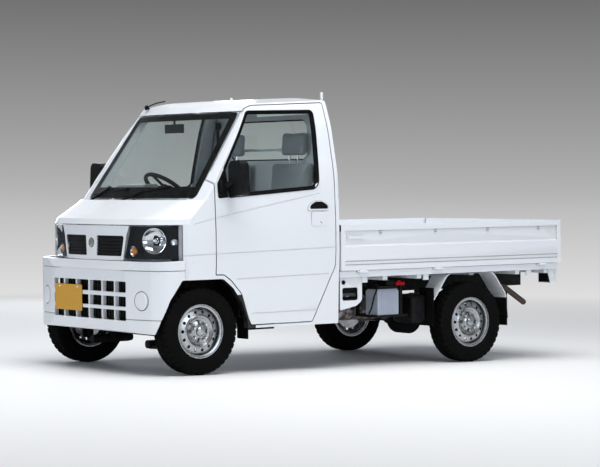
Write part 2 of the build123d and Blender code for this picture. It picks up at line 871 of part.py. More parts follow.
for side, shape in (("left", knuckle.part), ("right", mirrored(knuckle.part))):
    with BuildPart() as placed_knuckle:
        add(shape)
    keep(placed_knuckle, f"knuckle_{side}")

# Rear axle on leaf springs
axle_radius = 36
axle_half = 618
differential_radius = 112
differential_half = 120
differential_neck_y = 150
pad_height = 14
pad_half = 52
spring_stand_off = 12
spring_leaf_width = 60
spring_inner_x = rail_outer_x + spring_stand_off
spring_outer_x = spring_inner_x + spring_leaf_width
leaf_eye_z = 345
leaf_eye_radius = 22
leaf_front_y = 1760
leaf_rear_y = 2640
leaf_sheet = 9
leaf_pack = 34
leaf_pack_half = 240
hanger_depth = 46
leaf_seat_z = rear_axle_z + axle_radius + pad_height
with BuildPart() as rear_axle:
    centre = (0, rear_axle_y, rear_axle_z)
    add(rod((-axle_half, rear_axle_y, rear_axle_z), (axle_half, rear_axle_y, rear_axle_z), axle_radius))
    spindle_reach = spindle_end_x
    spindle_end = (spindle_reach, rear_axle_y, rear_axle_z)
    add(rod((-spindle_reach, rear_axle_y, rear_axle_z), spindle_end, spindle_radius))
    with BuildSketch(Plane.YZ):
        with Locations((rear_axle_y, rear_axle_z)):
            Circle(differential_radius)
    extrude(amount=differential_half / 2, both=True)
    add(
        rod(
            centre,
            (0, rear_axle_y - differential_neck_y, rear_axle_z + pad_height),
            axle_radius + pad_height,
        )
    )
    for side in (1, -1):
        low_x, high_x = sorted((side * spring_inner_x, side * spring_outer_x))
        add(
            block(
                (low_x, rear_axle_y - pad_half, rear_axle_z),
                (high_x, rear_axle_y + pad_half, leaf_seat_z),
            )
        )
keep(rear_axle, "rear_axle")
leaf_rows = [
    (leaf_front_y, leaf_eye_z - leaf_sheet, 0),
    (rear_axle_y - leaf_pack_half, leaf_seat_z + leaf_pack - leaf_sheet, 0),
    (rear_axle_y - leaf_pack_half, leaf_seat_z + leaf_pack / 2, 0),
    (rear_axle_y - pad_half, leaf_seat_z, 0),
    (rear_axle_y + pad_half, leaf_seat_z, 0),
    (rear_axle_y + leaf_pack_half, leaf_seat_z + leaf_pack / 2, 0),
    (rear_axle_y + leaf_pack_half, leaf_seat_z + leaf_pack - leaf_sheet, 0),
    (leaf_rear_y, leaf_eye_z - leaf_sheet, 0),
    (leaf_rear_y, leaf_eye_z, 0),
    (rear_axle_y + pad_half, leaf_seat_z + leaf_pack, 0),
    (rear_axle_y - pad_half, leaf_seat_z + leaf_pack, 0),
    (leaf_front_y, leaf_eye_z, 0),
]
with BuildPart() as leaf_springs:
    pack = prism(leaf_rows, Plane.YZ.offset(spring_inner_x), spring_outer_x - spring_inner_x)
    for y in (leaf_front_y, leaf_rear_y):
        eye_end = (spring_outer_x + leaf_sheet, y, leaf_eye_z)
        pack += rod((rail_outer_x, y, leaf_eye_z), eye_end, leaf_eye_radius)
        pack += block(
            (rail_outer_x, y - hanger_depth / 2, leaf_eye_z),
            (rail_outer_x + leaf_sheet, y + hanger_depth / 2, rail_bed_low_z + overrun),
        )
    add([pack, mirrored(pack)])
keep(leaf_springs, "leaf_springs")

# Engine and gearbox as plain masses, on side mounts
engine_low = (-225, 560, 300)
engine_high = (225, 1010, 690)
engine_mount_low = (-330, 700, 288)
engine_mount_high = (330, 780, 319)
gearbox_z = 332
gearbox_radius = 96
gearbox_end_y = 1400
tail_radius = 60
tail_end_y = 1790
sump_low = (-150, 620, 230)
sump_high = (150, 960, 300)
with BuildPart() as engine:
    add(block(engine_low, engine_high))
    add(block(engine_mount_low, engine_mount_high))
    add(block(sump_low, sump_high))
    add(rod((0, engine_high[1] - overrun, gearbox_z), (0, gearbox_end_y, gearbox_z), gearbox_radius))
    add(rod((0, gearbox_end_y - overrun, gearbox_z), (0, tail_end_y, gearbox_z), tail_radius))
keep(engine, "engine")
shaft_radius = 30
shaft_end = (0, rear_axle_y - differential_neck_y, rear_axle_z + pad_height)
with BuildPart() as prop_shaft:
    add(rod((0, tail_end_y, gearbox_z), shaft_end, shaft_radius))
    add(engine.part, mode=Mode.SUBTRACT)
    add(rear_axle.part, mode=Mode.SUBTRACT)
keep(prop_shaft, "prop_shaft")

# Exhaust, fuel tank, battery and radiator, each with the bracket that hangs it
muffler_x = 235
muffler_z = 322
muffler_front_y = 1340
muffler_rear_y = 1850
muffler_radius = 72
pipe_radius = 20
hanger_radius = 8
pipe_rows = [
    (muffler_x, muffler_rear_y, muffler_z),
    (250, 1960, 390),
    (262, 2420, 395),
    (470, 2600, 420),
    (520, 2676, 440),
    (520, 2855, 330),
]
front_pipe_rows = [(muffler_x, muffler_front_y, muffler_z), (200, 1150, 300), (150, 1000, 290)]
hanger_rows = [
    (muffler_x, muffler_front_y + overrun, bed_seat_z),
    (muffler_x, muffler_rear_y - overrun, bed_seat_z),
    (465, 2600, bed_seat_z),
]
with BuildPart() as exhaust:
    muffler_end = (muffler_x, muffler_rear_y, muffler_z)
    add(rod((muffler_x, muffler_front_y, muffler_z), muffler_end, muffler_radius))
    for run in (pipe_rows, front_pipe_rows):
        for start, end in zip(run, run[1:]):
            add(rod(start, end, pipe_radius))
            with Locations(end):
                Sphere(pipe_radius)
    add(chassis_frame.part, mode=Mode.SUBTRACT)
    add(engine.part, mode=Mode.SUBTRACT)
keep(exhaust, "exhaust")
tank_low = (-640, 1230, 252)
tank_high = (-400, 1720, 430)
tank_strap_y = (1300, 1620)
strap_width = 30
with BuildPart() as fuel_tank:
    add(block(tank_low, tank_high))
    fillet(fuel_tank.edges().filter_by(Axis.Y), radius=strap_width)
    for y in tank_strap_y:
        strap_low = (tank_low[0] + overrun, y, tank_high[2] - rail_sheet)
        add(block(strap_low, (-rail_outer_x, y + strap_width, bed_seat_z)))
keep(fuel_tank, "fuel_tank")
battery_low = (480, 1477, 300)
battery_high = (605, 1655, 460)
battery_cover_high = (598, 1650, 478)
tray_low = (rail_outer_x, 1465, 285)
tray_high = (612, 1732, 300)
tray_post_y = (1470, 1700)
with BuildPart() as battery:
    add(block(battery_low, battery_high))
    cover_low = (battery_low[0] + rail_sheet, battery_low[1] + rail_sheet, battery_high[2])
    add(block(cover_low, battery_cover_high))
keep(battery, "battery")
with BuildPart() as battery_tray:
    add(block(tray_low, tray_high))
    for y in tray_post_y:
        hanger_high = (rail_outer_x + rail_sheet, y + strap_width, bed_seat_z - overrun)
        add(block((rail_outer_x, y, tray_low[2]), hanger_high))
keep(battery_tray, "battery_tray")
radiator_low = (-230, -322, 345)
radiator_high = (230, -290, 600)
radiator_arm_z = 300
with BuildPart() as radiator:
    add(block(radiator_low, radiator_high))
    for x in (radiator_low[0], radiator_high[0] - strap_width):
        arm_high = (x + strap_width, radiator_high[1], radiator_low[2])
        add(block((x, radiator_low[1], radiator_arm_z), arm_high))
        add(
            block(
                (x, radiator_low[1], radiator_arm_z),
                (x + strap_width, rail_front_y, radiator_arm_z + rail_sheet),
            )
        )
keep(radiator, "radiator")

# Bed: deck on bearers, with sills, hinge lugs and rope hooks
bed_front_y = 1078
bed_rear_y = 3004
deck_half = 715
deck_low_z = 598
deck_high_z = 604
sill_width = 22
sill_low_z = 564
bearer_width = 40
# Bearers: rows of (front y, half length), shorter over the rear wheels
bearer_rows = ((1140, 693), (1450, 693), (1740, 693), (2040, 548), (2330, 548), (2620, 693), (2890, 693))
hinge_z = 600
hinge_x = 729.5
hinge_y = 3018
hinge_barrel_radius = 8
hinge_pin_radius = 4
hinge_gap = 1.5
lug_width = 16
lug_drop = 5
barrel_length = 56
hinge_centres = (1258, 1900, 2840)
tail_hinge_centres = (-480, 0, 480)
hook_rows = (1293, 1814, 2740)
hook_width = 44
hook_low_z = 526
hook_depth = 10
# Load panel, raised inside the gates
load_half = 690
load_front_y = 1116
load_rear_y = 2984
load_z = 607
# Side panel behind the cab on the left and the rear corner brackets, in side view
stay_x = 693
stay_sheet = 6
stay_rows = [(1091, 575, 0), (1272, 575, 0), (1272, 410, 40), (1225, 378, 40), (1091, 352, 8)]
stay_hole_rows = [(1110, 414, 14), (1110, 497, 14), (1237, 497, 14), (1237, 414, 14)]
stay_plugs = [(1119, 532, 13)]
corner_rows = [(2915, 575, 0), (3004, 575, 0), (3004, 463, 8), (2948, 463, 8)]
corner_plugs = [(2988, 538, 10), (2990, 486, 7)]
plug_head = 3
with BuildPart() as bed_floor:
    add(block((-deck_half, bed_front_y, deck_low_z), (deck_half, bed_rear_y, deck_high_z)))
    add(block((-load_half, load_front_y, deck_low_z), (load_half, load_rear_y, load_z)))
    stay = prism(stay_rows, Plane.YZ.offset(stay_x), stay_sheet)
    stay -= prism(stay_hole_rows, Plane.YZ.offset(stay_x - overrun), stay_sheet + 2 * overrun)
    corner = prism(corner_rows, Plane.YZ.offset(stay_x), stay_sheet)
    for y, z, radius in stay_plugs:
        stay += rod((stay_x, y, z), (stay_x + stay_sheet + plug_head, y, z), radius)
    for y, z, radius in corner_plugs:
        corner += rod((stay_x, y, z), (stay_x + stay_sheet + plug_head, y, z), radius)
    add([stay, corner, mirrored(corner)])
    for front_y, reach in bearer_rows:
        add(block((-reach, front_y, bed_seat_z), (reach, front_y + bearer_width, deck_low_z)))
    for side in (1, -1):
        low_x, high_x = sorted((side * (deck_half - sill_width), side * deck_half))
        add(block((low_x, bed_front_y, sill_low_z), (high_x, bed_rear_y, deck_low_z)))
        for y in hinge_centres:
            pin = rod(
                (side * hinge_x, y - barrel_length / 2 - lug_width, hinge_z),
                (side * hinge_x, y + barrel_length / 2 + lug_width, hinge_z),
                hinge_pin_radius,
            )
            add(pin)
            for low_y in (y - barrel_length / 2 - lug_width, y + barrel_length / 2 + hinge_gap):
                high_y = low_y + lug_width - hinge_gap
                low_x, high_x = sorted((side * (deck_half - rail_sheet), side * hinge_x))
                lug_low_z = hinge_z - lug_drop
                add(block((low_x, low_y, lug_low_z), (high_x, high_y, hinge_z + hinge_gap)))
        for y in hook_rows:
            hook_x = deck_half - sill_width
            low_x, high_x = sorted((side * hook_x, side * (hook_x + hook_depth)))
            add(block((low_x, y - hook_width / 2, hook_low_z), (high_x, y + hook_width / 2, sill_low_z)))
    add(block((-deck_half, bed_rear_y - sill_width, sill_low_z), (deck_half, bed_rear_y, deck_low_z)))
    for x in tail_hinge_centres:
        ends = (x - barrel_length / 2 - lug_width, x + barrel_length / 2 + lug_width)
        add(rod((ends[0], hinge_y, hinge_z), (ends[1], hinge_y, hinge_z), hinge_pin_radius))
        for low_x in (ends[0], x + barrel_length / 2 + hinge_gap):
            high_x = low_x + lug_width - hinge_gap
            lug_low_z = hinge_z - lug_drop
            add(block((low_x, bed_rear_y - rail_sheet, lug_low_z), (high_x, hinge_y, hinge_z + hinge_gap)))
keep(bed_floor, "bed_floor")

# Gates: hollow pressed panels with a top rail, recessed between rail and ribs
gate_low_z = 609
gate_high_z = 905
gate_outer_x = 730
gate_inner_x = 706
gate_front_y = 1080
gate_rear_y = 3017
gate_rail_z = 866
gate_recess_low_z = 776
gate_slope_z = 763
gate_recess_depth = 9
gate_recess_end = 34
tail_half = 697
tail_inner_y = 2992
tail_outer_y = 3016
gate_rib_levels = [(643, 649), (666, 672)]
gate_rib_depth = 4
gate_loop_centres = (1414, 1884, 2347, 2818)
gate_loop_levels = (838, 852)
gate_loop_half = 13
latch_plate_low = (716, 1130, 800)
latch_plate_high = (724, 1170, 846)
latch_lever_low = (722, 1138, 812)
latch_lever_high = (729, 1272, 834)
with BuildPart() as side_gate:
    add(block((gate_inner_x, gate_front_y, gate_low_z), (gate_outer_x, gate_rear_y, gate_high_z)))
    gate_recess_rows = [
        (gate_outer_x - gate_recess_depth, gate_rail_z, 0),
        (gate_outer_x, gate_rail_z, 0),
        (gate_outer_x, gate_slope_z, 0),
        (gate_outer_x - gate_recess_depth, gate_recess_low_z, 0),
    ]
    recess_length = gate_rear_y - gate_front_y - 2 * gate_recess_end
    recess_plane = Plane.XZ.offset(gate_recess_end - gate_rear_y)
    add(prism(gate_recess_rows, recess_plane, recess_length), mode=Mode.SUBTRACT)
    for low, high in gate_rib_levels:
        rib_low = (gate_outer_x - gate_rib_depth, gate_front_y + gate_recess_end, low)
        add(block(rib_low, (gate_outer_x, gate_rear_y - gate_recess_end, high)), mode=Mode.SUBTRACT)
    recess_x = gate_outer_x - gate_recess_depth
    for y in gate_loop_centres:
        for z in gate_loop_levels:
            loop_low = (recess_x - rail_sheet, y - gate_loop_half, z)
            add(block(loop_low, (gate_outer_x, y + gate_loop_half, z + rail_sheet)))
    add(block(latch_plate_low, latch_plate_high))
    add(block(latch_lever_low, latch_lever_high))
    for y in hinge_centres:
        ends = ((hinge_x, y - barrel_length / 2, hinge_z), (hinge_x, y + barrel_length / 2, hinge_z))
        strap_low = (hinge_x - rail_sheet, ends[0][1], hinge_z)
        add(block(strap_low, (gate_outer_x, ends[1][1], gate_low_z)))
        add(rod(*ends, hinge_barrel_radius))
        add(rod(*ends, hinge_pin_radius + bore_play), mode=Mode.SUBTRACT)
with BuildPart() as tailgate:
    add(block((-tail_half, tail_inner_y, gate_low_z), (tail_half, tail_outer_y, gate_high_z)))
    add(
        block(
            (gate_recess_end - tail_half, tail_outer_y - gate_recess_depth, gate_recess_low_z),
            (tail_half - gate_recess_end, tail_outer_y, gate_rail_z),
        ),
        mode=Mode.SUBTRACT,
    )
    for x in tail_hinge_centres:
        ends = ((x - barrel_length / 2, hinge_y, hinge_z), (x + barrel_length / 2, hinge_y, hinge_z))
        strap_low = (ends[0][0], hinge_y - rail_sheet, hinge_z)
        add(block(strap_low, (ends[1][0], tail_outer_y, gate_low_z)))
        add(rod(*ends, hinge_barrel_radius))
        add(rod(*ends, hinge_pin_radius + bore_play), mode=Mode.SUBTRACT)
keep(tailgate, "tailgate")
for side, shape in (("left", side_gate.part), ("right", mirrored(side_gate.part))):
    with BuildPart() as placed_gate:
        add(shape)
    keep(placed_gate, f"side_gate_{side}")

# Headboard with the guard frame behind the cab
board_half = 698
board_front_y = 1086
board_rear_y = 1108
guard_x = 512
guard_y = 1097
guard_radius = 16
guard_top_z = 1712
guard_cross_z = 1400
peg_low_z = 1722
peg_top_z = 1766
peg_neck_radius = 8
peg_radius = 9
with BuildPart() as bed_headboard:
    add(block((-board_half, board_front_y, deck_high_z), (board_half, board_rear_y, gate_high_z)))
    for x in (-guard_x, guard_x):
        add(rod((x, guard_y, gate_high_z - overrun), (x, guard_y, guard_top_z), guard_radius))
        add(rod((x, guard_y, guard_top_z), (x, guard_y, peg_low_z), peg_neck_radius))
        add(rod((x, guard_y, peg_low_z), (x, guard_y, peg_top_z), peg_radius))
    for z in (guard_cross_z, guard_top_z - guard_radius):
        add(rod((-guard_x, guard_y, z), (guard_x, guard_y, z), guard_radius - rail_sheet / 2))
keep(bed_headboard, "bed_headboard")

# Tail lamps on their brackets, rear plate, and the black rear arches with flaps
lamp_inner_x = 540
lamp_outer_x = 690
lamp_low_z = 468
lamp_high_z = 548
lamp_back_y = 2985
lamp_front_y = 3010
with BuildPart() as tail_lamps:
    for side in (1, -1):
        low_x, high_x = sorted((side * lamp_inner_x, side * lamp_outer_x))
        add(block((low_x, lamp_back_y, lamp_low_z), (high_x, lamp_front_y, lamp_high_z)))
        add(block((low_x, lamp_back_y, lamp_high_z), (high_x, lamp_back_y + rail_sheet, sill_low_z)))
keep(tail_lamps, "tail_lamps")
plate_half = 165
plate_height = 165
plate_sheet = 2
front_plate_x = -243
front_plate_low_z = 380
front_plate_y = -375
rear_plate_low_z = 385
rear_plate_y = 2960
with BuildPart() as number_plates:
    add(
        block(
            (front_plate_x - plate_half, front_plate_y, front_plate_low_z),
            (front_plate_x + plate_half, front_plate_y + plate_sheet, front_plate_low_z + plate_height),
        )
    )
    add(
        block(
            (-plate_half, rear_plate_y, rear_plate_low_z),
            (plate_half, rear_plate_y + plate_sheet, rear_plate_low_z + plate_height),
        )
    )
    for x in (front_plate_x - plate_half / 2, front_plate_x + plate_half / 2):
        z = front_plate_low_z + plate_height / 2
        add(rod((x, front_plate_y, z), (x, bumper_front_y, z), peg_radius))
keep(number_plates, "number_plates")
arch_inner_x = 560
arch_outer_x = 712
arch_sheet = 6
arch_bracket_y = (2090, 2280)
rear_arch_rows = [
    (1890, 405, 0),
    (2000, 557, 60),
    (2400, 557, 60),
    (2514, 404, 60),
    (2530, 240, 0),
]
with BuildPart() as rear_arches:
    outer = [(y, z, corner) for y, z, corner in rear_arch_rows]
    for side in (1, -1):
        reach = sorted((side * arch_inner_x, side * arch_outer_x))
        with BuildSketch(Plane.YZ.offset(reach[0])):
            with BuildLine():
                line = FilletPolyline(*[(y, z) for y, z, _ in outer], radius=[c for _, _, c in outer][1:-1])
                offset(line, arch_sheet, side=Side.LEFT)
            make_face()
        extrude(amount=reach[1] - reach[0])
        for y in arch_bracket_y:
            low = (reach[0], y, rear_arch_rows[1][1] + arch_sheet / 2)
            add(block(low, (reach[1], y + strap_width, deck_low_z)))
    sill_inner = deck_half - sill_width
    for x in (-deck_half, sill_inner):
        cut_low = (x, rear_arch_rows[0][0], sill_low_z - rail_sheet)
        add(block(cut_low, (x + sill_width, rear_arch_rows[-1][0], deck_high_z)), mode=Mode.SUBTRACT)
keep(rear_arches, "rear_arches")

# Cab interior: dashboard with the column, seats, steering wheel and mirror
dash_half = 560
dash_gap = 4
dash_rows = [
    (-16, 1040, 0),
    (6, 1066, 10),
    (226, 1092, 30),
    (290, 1052, 30),
    (276, 900, 30),
    (180, 816, 30),
    (60, 800, 0),
    (-16, 860, 0),
]
hood_low = (-500, 130, 1060)
hood_high = (-180, 290, 1172)
hood_rows = [(130, 1060, 0), (150, 1172, 40), (270, 1180, 18), (290, 1060, 0)]
wheel_spot = (-340, 447, 1140)
column_slope_shares = (0, 0.617, 0.787)
wheel_centre = Vector(*wheel_spot)
column_axis = Vector(*column_slope_shares)
column_radius = 28
column_top = 68
column_low = 330
shaft_radius_low = 13
shaft_low = 1000
hub_clearance = 6
pin_rise = 34
with BuildPart() as dashboard:
    extrude(profile(Plane.YZ, dash_rows), amount=dash_half, both=True)
    add(prism(hood_rows, Plane.YZ.offset(hood_low[0]), hood_high[0] - hood_low[0]))
    tube_low = wheel_centre - column_axis * column_low
    add(rod(tube_low, wheel_centre - column_axis * column_top, column_radius))
    add(rod(wheel_centre - column_axis * shaft_low, tube_low, shaft_radius_low))
    pin_end = wheel_centre - column_axis * (column_top - pin_rise)
    add(rod(wheel_centre - column_axis * column_top, pin_end, shaft_radius_low))
    add(cab_front.part, mode=Mode.SUBTRACT)
    add(cab_floor.part, mode=Mode.SUBTRACT)
    dash_room = cab_form(side_wall + dash_gap, front_wall + dash_gap)
    add(dash_room, mode=Mode.INTERSECT)
keep(dashboard, "dashboard")
rim_radius = 178
rim_wire = 14
wheel_hub_radius = 40
wheel_hub_rise = 22
spoke_width = 24
spoke_sheet = 10
spoke_angles = (5, 175, 275)
torus_turn = 45
wheel_plane = Plane(origin=wheel_centre, x_dir=(1, 0, 0), z_dir=column_axis)
with BuildPart() as steering_wheel:
    Torus(rim_radius - rim_wire, rim_wire, rotation=(0, 0, torus_turn))
    hub_low = hub_clearance - column_top
    add(rod((0, 0, hub_low), (0, 0, wheel_hub_rise - hub_clearance), wheel_hub_radius))
    for angle in spoke_angles:
        with BuildSketch(Plane.YZ):
            Rectangle(spoke_width, spoke_sheet)
        spoke = extrude(amount=rim_radius - rim_wire, mode=Mode.PRIVATE)
        add(spoke.rotate(Axis.Z, angle))
    bore_end = pin_rise - column_top + hub_clearance
    add(rod((0, 0, hub_low - overrun), (0, 0, bore_end), shaft_radius_low + bore_play), mode=Mode.SUBTRACT)
with BuildPart() as placed_steering:
    add(wheel_plane.location * steering_wheel.part)
keep(placed_steering, "steering_wheel")
seat_x = 350
seat_half = 235
cushion_rows = [(460, 731, 20), (452, 862, 50), (880, 842, 40), (930, 731, 20)]
back_rows = [(872, 800, 0), (948, 1330, 34), (1022, 1330, 32), (1006, 731, 0), (930, 731, 0)]
rest_half = 75
rest_rows = [(958, 1352, 20), (972, 1512, 24), (1028, 1512, 22), (1024, 1352, 18)]
rest_stem_radius = 7
rest_stem_x = 45
rest_stem_low = (988, 1310)
rest_stem_high = (996, 1370)
with BuildPart() as seats:
    for middle in (-seat_x, seat_x):
        seat = prism(cushion_rows, Plane.YZ.offset(middle - seat_half), seat_half + seat_half)
        seat += prism(back_rows, Plane.YZ.offset(middle - seat_half), seat_half + seat_half)
        seat += prism(rest_rows, Plane.YZ.offset(middle - rest_half), rest_half + rest_half)
        for x in (middle - rest_stem_x, middle + rest_stem_x):
            seat += rod((x, *rest_stem_low), (x, *rest_stem_high), rest_stem_radius)
        add(seat)
keep(seats, "seats")
mirror_low = (-135, 300, 1506)
mirror_high = (65, 318, 1564)
mirror_stem = (-35, 309, 1560)
mirror_stem_top = (-35, 311, 1588)
mirror_stem_radius = 7
with BuildPart() as interior_mirror:
    add(block(mirror_low, mirror_high))
    add(rod(mirror_stem, mirror_stem_top, mirror_stem_radius))
    add(windscreen.part, mode=Mode.SUBTRACT)
keep(interior_mirror, "interior_mirror")

# Door mirrors, on arms from the doors, and the wipers
mirror_head_rows = [(752, 1098, 26), (748, 1316, 40), (880, 1322, 40), (896, 1106, 30)]
mirror_head_y = 186
mirror_head_depth = 62
mirror_arm_start = (712, 154, 1160)
mirror_arm_end = (800, 205, 1190)
mirror_arm_radius = 16
mirror_foot_low = (700, 136, 1120)
mirror_foot_high = (752, 172, 1200)
with BuildPart() as door_mirror:
    add(prism(mirror_head_rows, Plane.XZ.offset(-mirror_head_y - mirror_head_depth), mirror_head_depth))
    add(block(mirror_foot_low, mirror_foot_high))
    add(rod(mirror_arm_start, mirror_arm_end, mirror_arm_radius))
    add(skin, mode=Mode.SUBTRACT)
    add((skin & prism(window_rows, side_plane, side_depth) & sail_prism) - flange_form)
for side, shape in (("left", door_mirror.part), ("right", mirrored(door_mirror.part))):
    with BuildPart() as placed_mirror:
        add(shape)
    keep(placed_mirror, f"door_mirror_{side}")
wiper_rows = (
    ((-620, -62, 1052), (-350, 28, 1160), (-560, 5, 1112), (-100, 12, 1150)),
    ((-160, -62, 1052), (110, 10, 1140), (-100, -5, 1100), (350, 20, 1165)),
)
wiper_radius = 8
blade_radius = 6
wiper_lift = 9
wiper_boss_depth = 27
wiper_boss_radius = 16
with BuildPart() as wipers:
    for pivot, elbow, blade_start, blade_end in wiper_rows:
        arms = []
        for x, _, z in (pivot, elbow, blade_start, blade_end):
            arms.append((x, screen_y(abs(x), z) - wiper_lift, z))
        boss = (pivot[0], arms[0][1] + wiper_boss_depth, pivot[2] - wiper_lift)
        add(rod(boss, arms[0], wiper_boss_radius))
        add(rod(arms[0], arms[1], wiper_radius))
        add(rod(arms[2], arms[3], blade_radius))
        blade_middle = tuple((a + b) / 2 for a, b in zip(arms[2], arms[3]))
        add(rod(arms[1], blade_middle, blade_radius))
    add(skin, mode=Mode.SUBTRACT)
keep(wipers, "wipers")
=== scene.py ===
import json
import math

import bmesh
import bpy
from mathutils import Matrix, Vector
from mathutils.bvhtree import BVHTree


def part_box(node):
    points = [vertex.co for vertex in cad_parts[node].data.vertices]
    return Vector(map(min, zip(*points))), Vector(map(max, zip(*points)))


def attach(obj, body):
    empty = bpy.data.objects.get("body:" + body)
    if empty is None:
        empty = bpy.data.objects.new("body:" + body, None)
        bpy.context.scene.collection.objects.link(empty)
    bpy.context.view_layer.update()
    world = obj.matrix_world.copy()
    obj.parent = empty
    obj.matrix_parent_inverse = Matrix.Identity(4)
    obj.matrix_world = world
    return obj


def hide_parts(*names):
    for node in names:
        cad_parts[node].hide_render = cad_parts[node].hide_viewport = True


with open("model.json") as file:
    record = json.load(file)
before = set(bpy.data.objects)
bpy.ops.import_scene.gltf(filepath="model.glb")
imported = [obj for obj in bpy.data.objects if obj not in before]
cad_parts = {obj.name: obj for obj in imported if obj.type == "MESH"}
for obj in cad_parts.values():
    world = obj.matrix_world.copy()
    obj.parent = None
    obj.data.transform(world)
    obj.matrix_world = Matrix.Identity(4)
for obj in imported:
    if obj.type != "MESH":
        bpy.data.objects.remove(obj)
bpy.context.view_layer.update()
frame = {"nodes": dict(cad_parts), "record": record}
nodes = frame["nodes"]
scene = bpy.context.scene
sides = (("left", 1.0), ("right", -1.0))
print("loaded", len(nodes), "nodes")


# A wrapped output socket: sums of sockets become Math nodes
class Socket:
    def __init__(self, tree, out):
        self.tree = tree
        self.out = out

    def math(self, kind, other=None, clamp=False, flip=False):
        n = self.tree.nodes.new("ShaderNodeMath")
        n.operation = kind
        n.use_clamp = clamp
        for i, term in enumerate((other, self) if flip else (self, other)):
            if isinstance(term, Socket):
                self.tree.links.new(term.out, n.inputs[i])
            elif term is not None:
                n.inputs[i].default_value = term
        return Socket(self.tree, n.outputs[0])

    def __add__(self, other):
        return self.math("ADD", other)

    def __radd__(self, other):
        return self.math("ADD", other, flip=True)

    def __sub__(self, other):
        return self.math("SUBTRACT", other)

    def __rsub__(self, other):
        return self.math("SUBTRACT", other, flip=True)

    def __mul__(self, other):
        return self.math("MULTIPLY", other)

    def __rmul__(self, other):
        return self.math("MULTIPLY", other, flip=True)

    def __truediv__(self, other):
        return self.math("DIVIDE", other)

    def __rtruediv__(self, other):
        return self.math("DIVIDE", other, flip=True)

    def __pow__(self, other):
        return self.math("POWER", other)

    def __lt__(self, other):
        return self.math("LESS_THAN", other)

    def __gt__(self, other):
        return self.math("GREATER_THAN", other)

    def clamped(self):
        return self.math("ADD", 0.0, clamp=True)

    # 0 at the first value and beyond it, 1 at the second
    def ramp(self, low, high):
        return ((self - low) / (high - low)).clamped()

    def sine(self):
        return self.math("SINE")

    def size(self):
        return self.math("ABSOLUTE")


class Shader:
    def __init__(self, name):
        self.material = bpy.data.materials.new(name)
        self.material.use_nodes = True
        self.tree = self.material.node_tree
        self.surface = self.tree.nodes["Principled BSDF"]
        self.output = self.tree.nodes["Material Output"]
        self.spot = None

    # Any other node: settings first, then values or links by socket name
    def node(self, kind, settings=None, **values):
        n = self.tree.nodes.new(kind)
        for key, value in (settings or {}).items():
            setattr(n, key, value)
        for key, value in values.items():
            self.put(n.inputs[key.replace("_", " ")], value)
        return n

    def put(self, target, value):
        if isinstance(value, Socket):
            self.tree.links.new(value.out, target)
        else:
            target.default_value = value

    def out(self, n, name=0):
        return Socket(self.tree, n.outputs[name])

    def set(self, **values):
        for key, value in values.items():
            self.put(self.surface.inputs[key.replace("_", " ")], value)
        return self

    def place(self):
        if self.spot is None:
            self.spot = self.out(self.node("ShaderNodeTexCoord"), "Object")
        return self.spot

    def axes(self):
        split = self.node("ShaderNodeSeparateXYZ", Vector=self.place())
        return [self.out(split, i) for i in range(3)]

    def noise(self, scale, detail=3.0, roughness=0.55):
        spot = self.place()
        n = self.node("ShaderNodeTexNoise", Vector=spot, Scale=scale, Detail=detail, Roughness=roughness)
        return self.out(n, "Fac")

    def curvature(self):
        return self.out(self.node("ShaderNodeNewGeometry"), "Pointiness")

    # 1 in the open and 0 deep in a gap
    def openness(self, reach):
        n = self.node("ShaderNodeAmbientOcclusion", {"samples": occlusion["samples"]}, Distance=reach)
        return self.out(n, "AO")

    def mix(self, fac, first, second):
        return blendTone(self.tree, fac, first, second)

    def bump(self, height, strength, distance):
        n = self.node("ShaderNodeBump", Height=height, Strength=strength, Distance=distance)
        self.put(self.surface.inputs["Normal"], self.out(n, "Normal"))
        return self


# Two colours, each a value or a socket, mixed by a socket
def blendTone(tree, fac, first, second):
    n = tree.nodes.new("ShaderNodeMix")
    n.data_type = "RGBA"
    tree.links.new(fac.out, n.inputs["Factor"])
    for slot, value in ((6, first), (7, second)):
        if isinstance(value, Socket):
            tree.links.new(value.out, n.inputs[slot])
        else:
            n.inputs[slot].default_value = (*value, 1.0)
    return Socket(tree, n.outputs[2])


# Ranges that all finishes share, each from where an effect starts to where it is full
# The occlusion ranges set where painted shade darkens gaps and creases
occlusion = {"samples": 6, "paint": (0.75, 0.15), "crease": (0.95, 0.3)}
curve = {"seam": (0.49, 0.46), "edge": (0.53, 0.6)}
patches = {"dust": (0.35, 0.75), "tone": (0.3, 0.7), "rub": (0.4, 0.7), "rubScale": 30.0}


# Gloss vehicle paint with a faint orange peel, road dust low down and in the seams, and painted shade that
# darkens the panel gaps
def paint(name, look):
    s = Shader(name)
    x, y, z = s.axes()
    low = z.ramp(look["dustTop"], look["dustLow"])
    dust = low * s.noise(look["dustScale"]).ramp(*patches["dust"]) * look["dustShare"]
    seam = s.curvature().ramp(*curve["seam"]) * look["seamShare"]
    tone = s.mix(dust + seam, look["color"], look["dust"])
    # Painted shade: ambient occlusion darkens gaps and recesses towards a near black
    gap = s.openness(look["gapShadeReach"]).ramp(*occlusion["paint"])
    tone = s.mix(gap * look["gapShadeShare"], tone, look["gapShadeTone"])
    coat = look["coat"]
    if look.get("seal"):  # black underseal inside the arches
        half, behind, ahead, top = look["seal"]
        sealed = (x.size() < half) * (y > behind) * (y < ahead) * (z < top)
        tone = s.mix(sealed, tone, look["underseal"])
        coat = (1 - sealed) * coat
    s.set(Base_Color=tone, Roughness=look["roughness"] + dust * look["dustMatt"])
    s.set(Coat_Weight=coat, Coat_Roughness=look["coatRoughness"])
    if look.get("ribs"):  # pressed ribs along the load floor
        wave = (x * look["ribs"]).sine().ramp(*look["ribRamp"])
        return s.bump(wave, look["ribStrength"], look["ribDepth"]).material
    return s.bump(s.noise(look["peelScale"], look["peelDetail"]), look["peel"], look["peelDepth"]).material
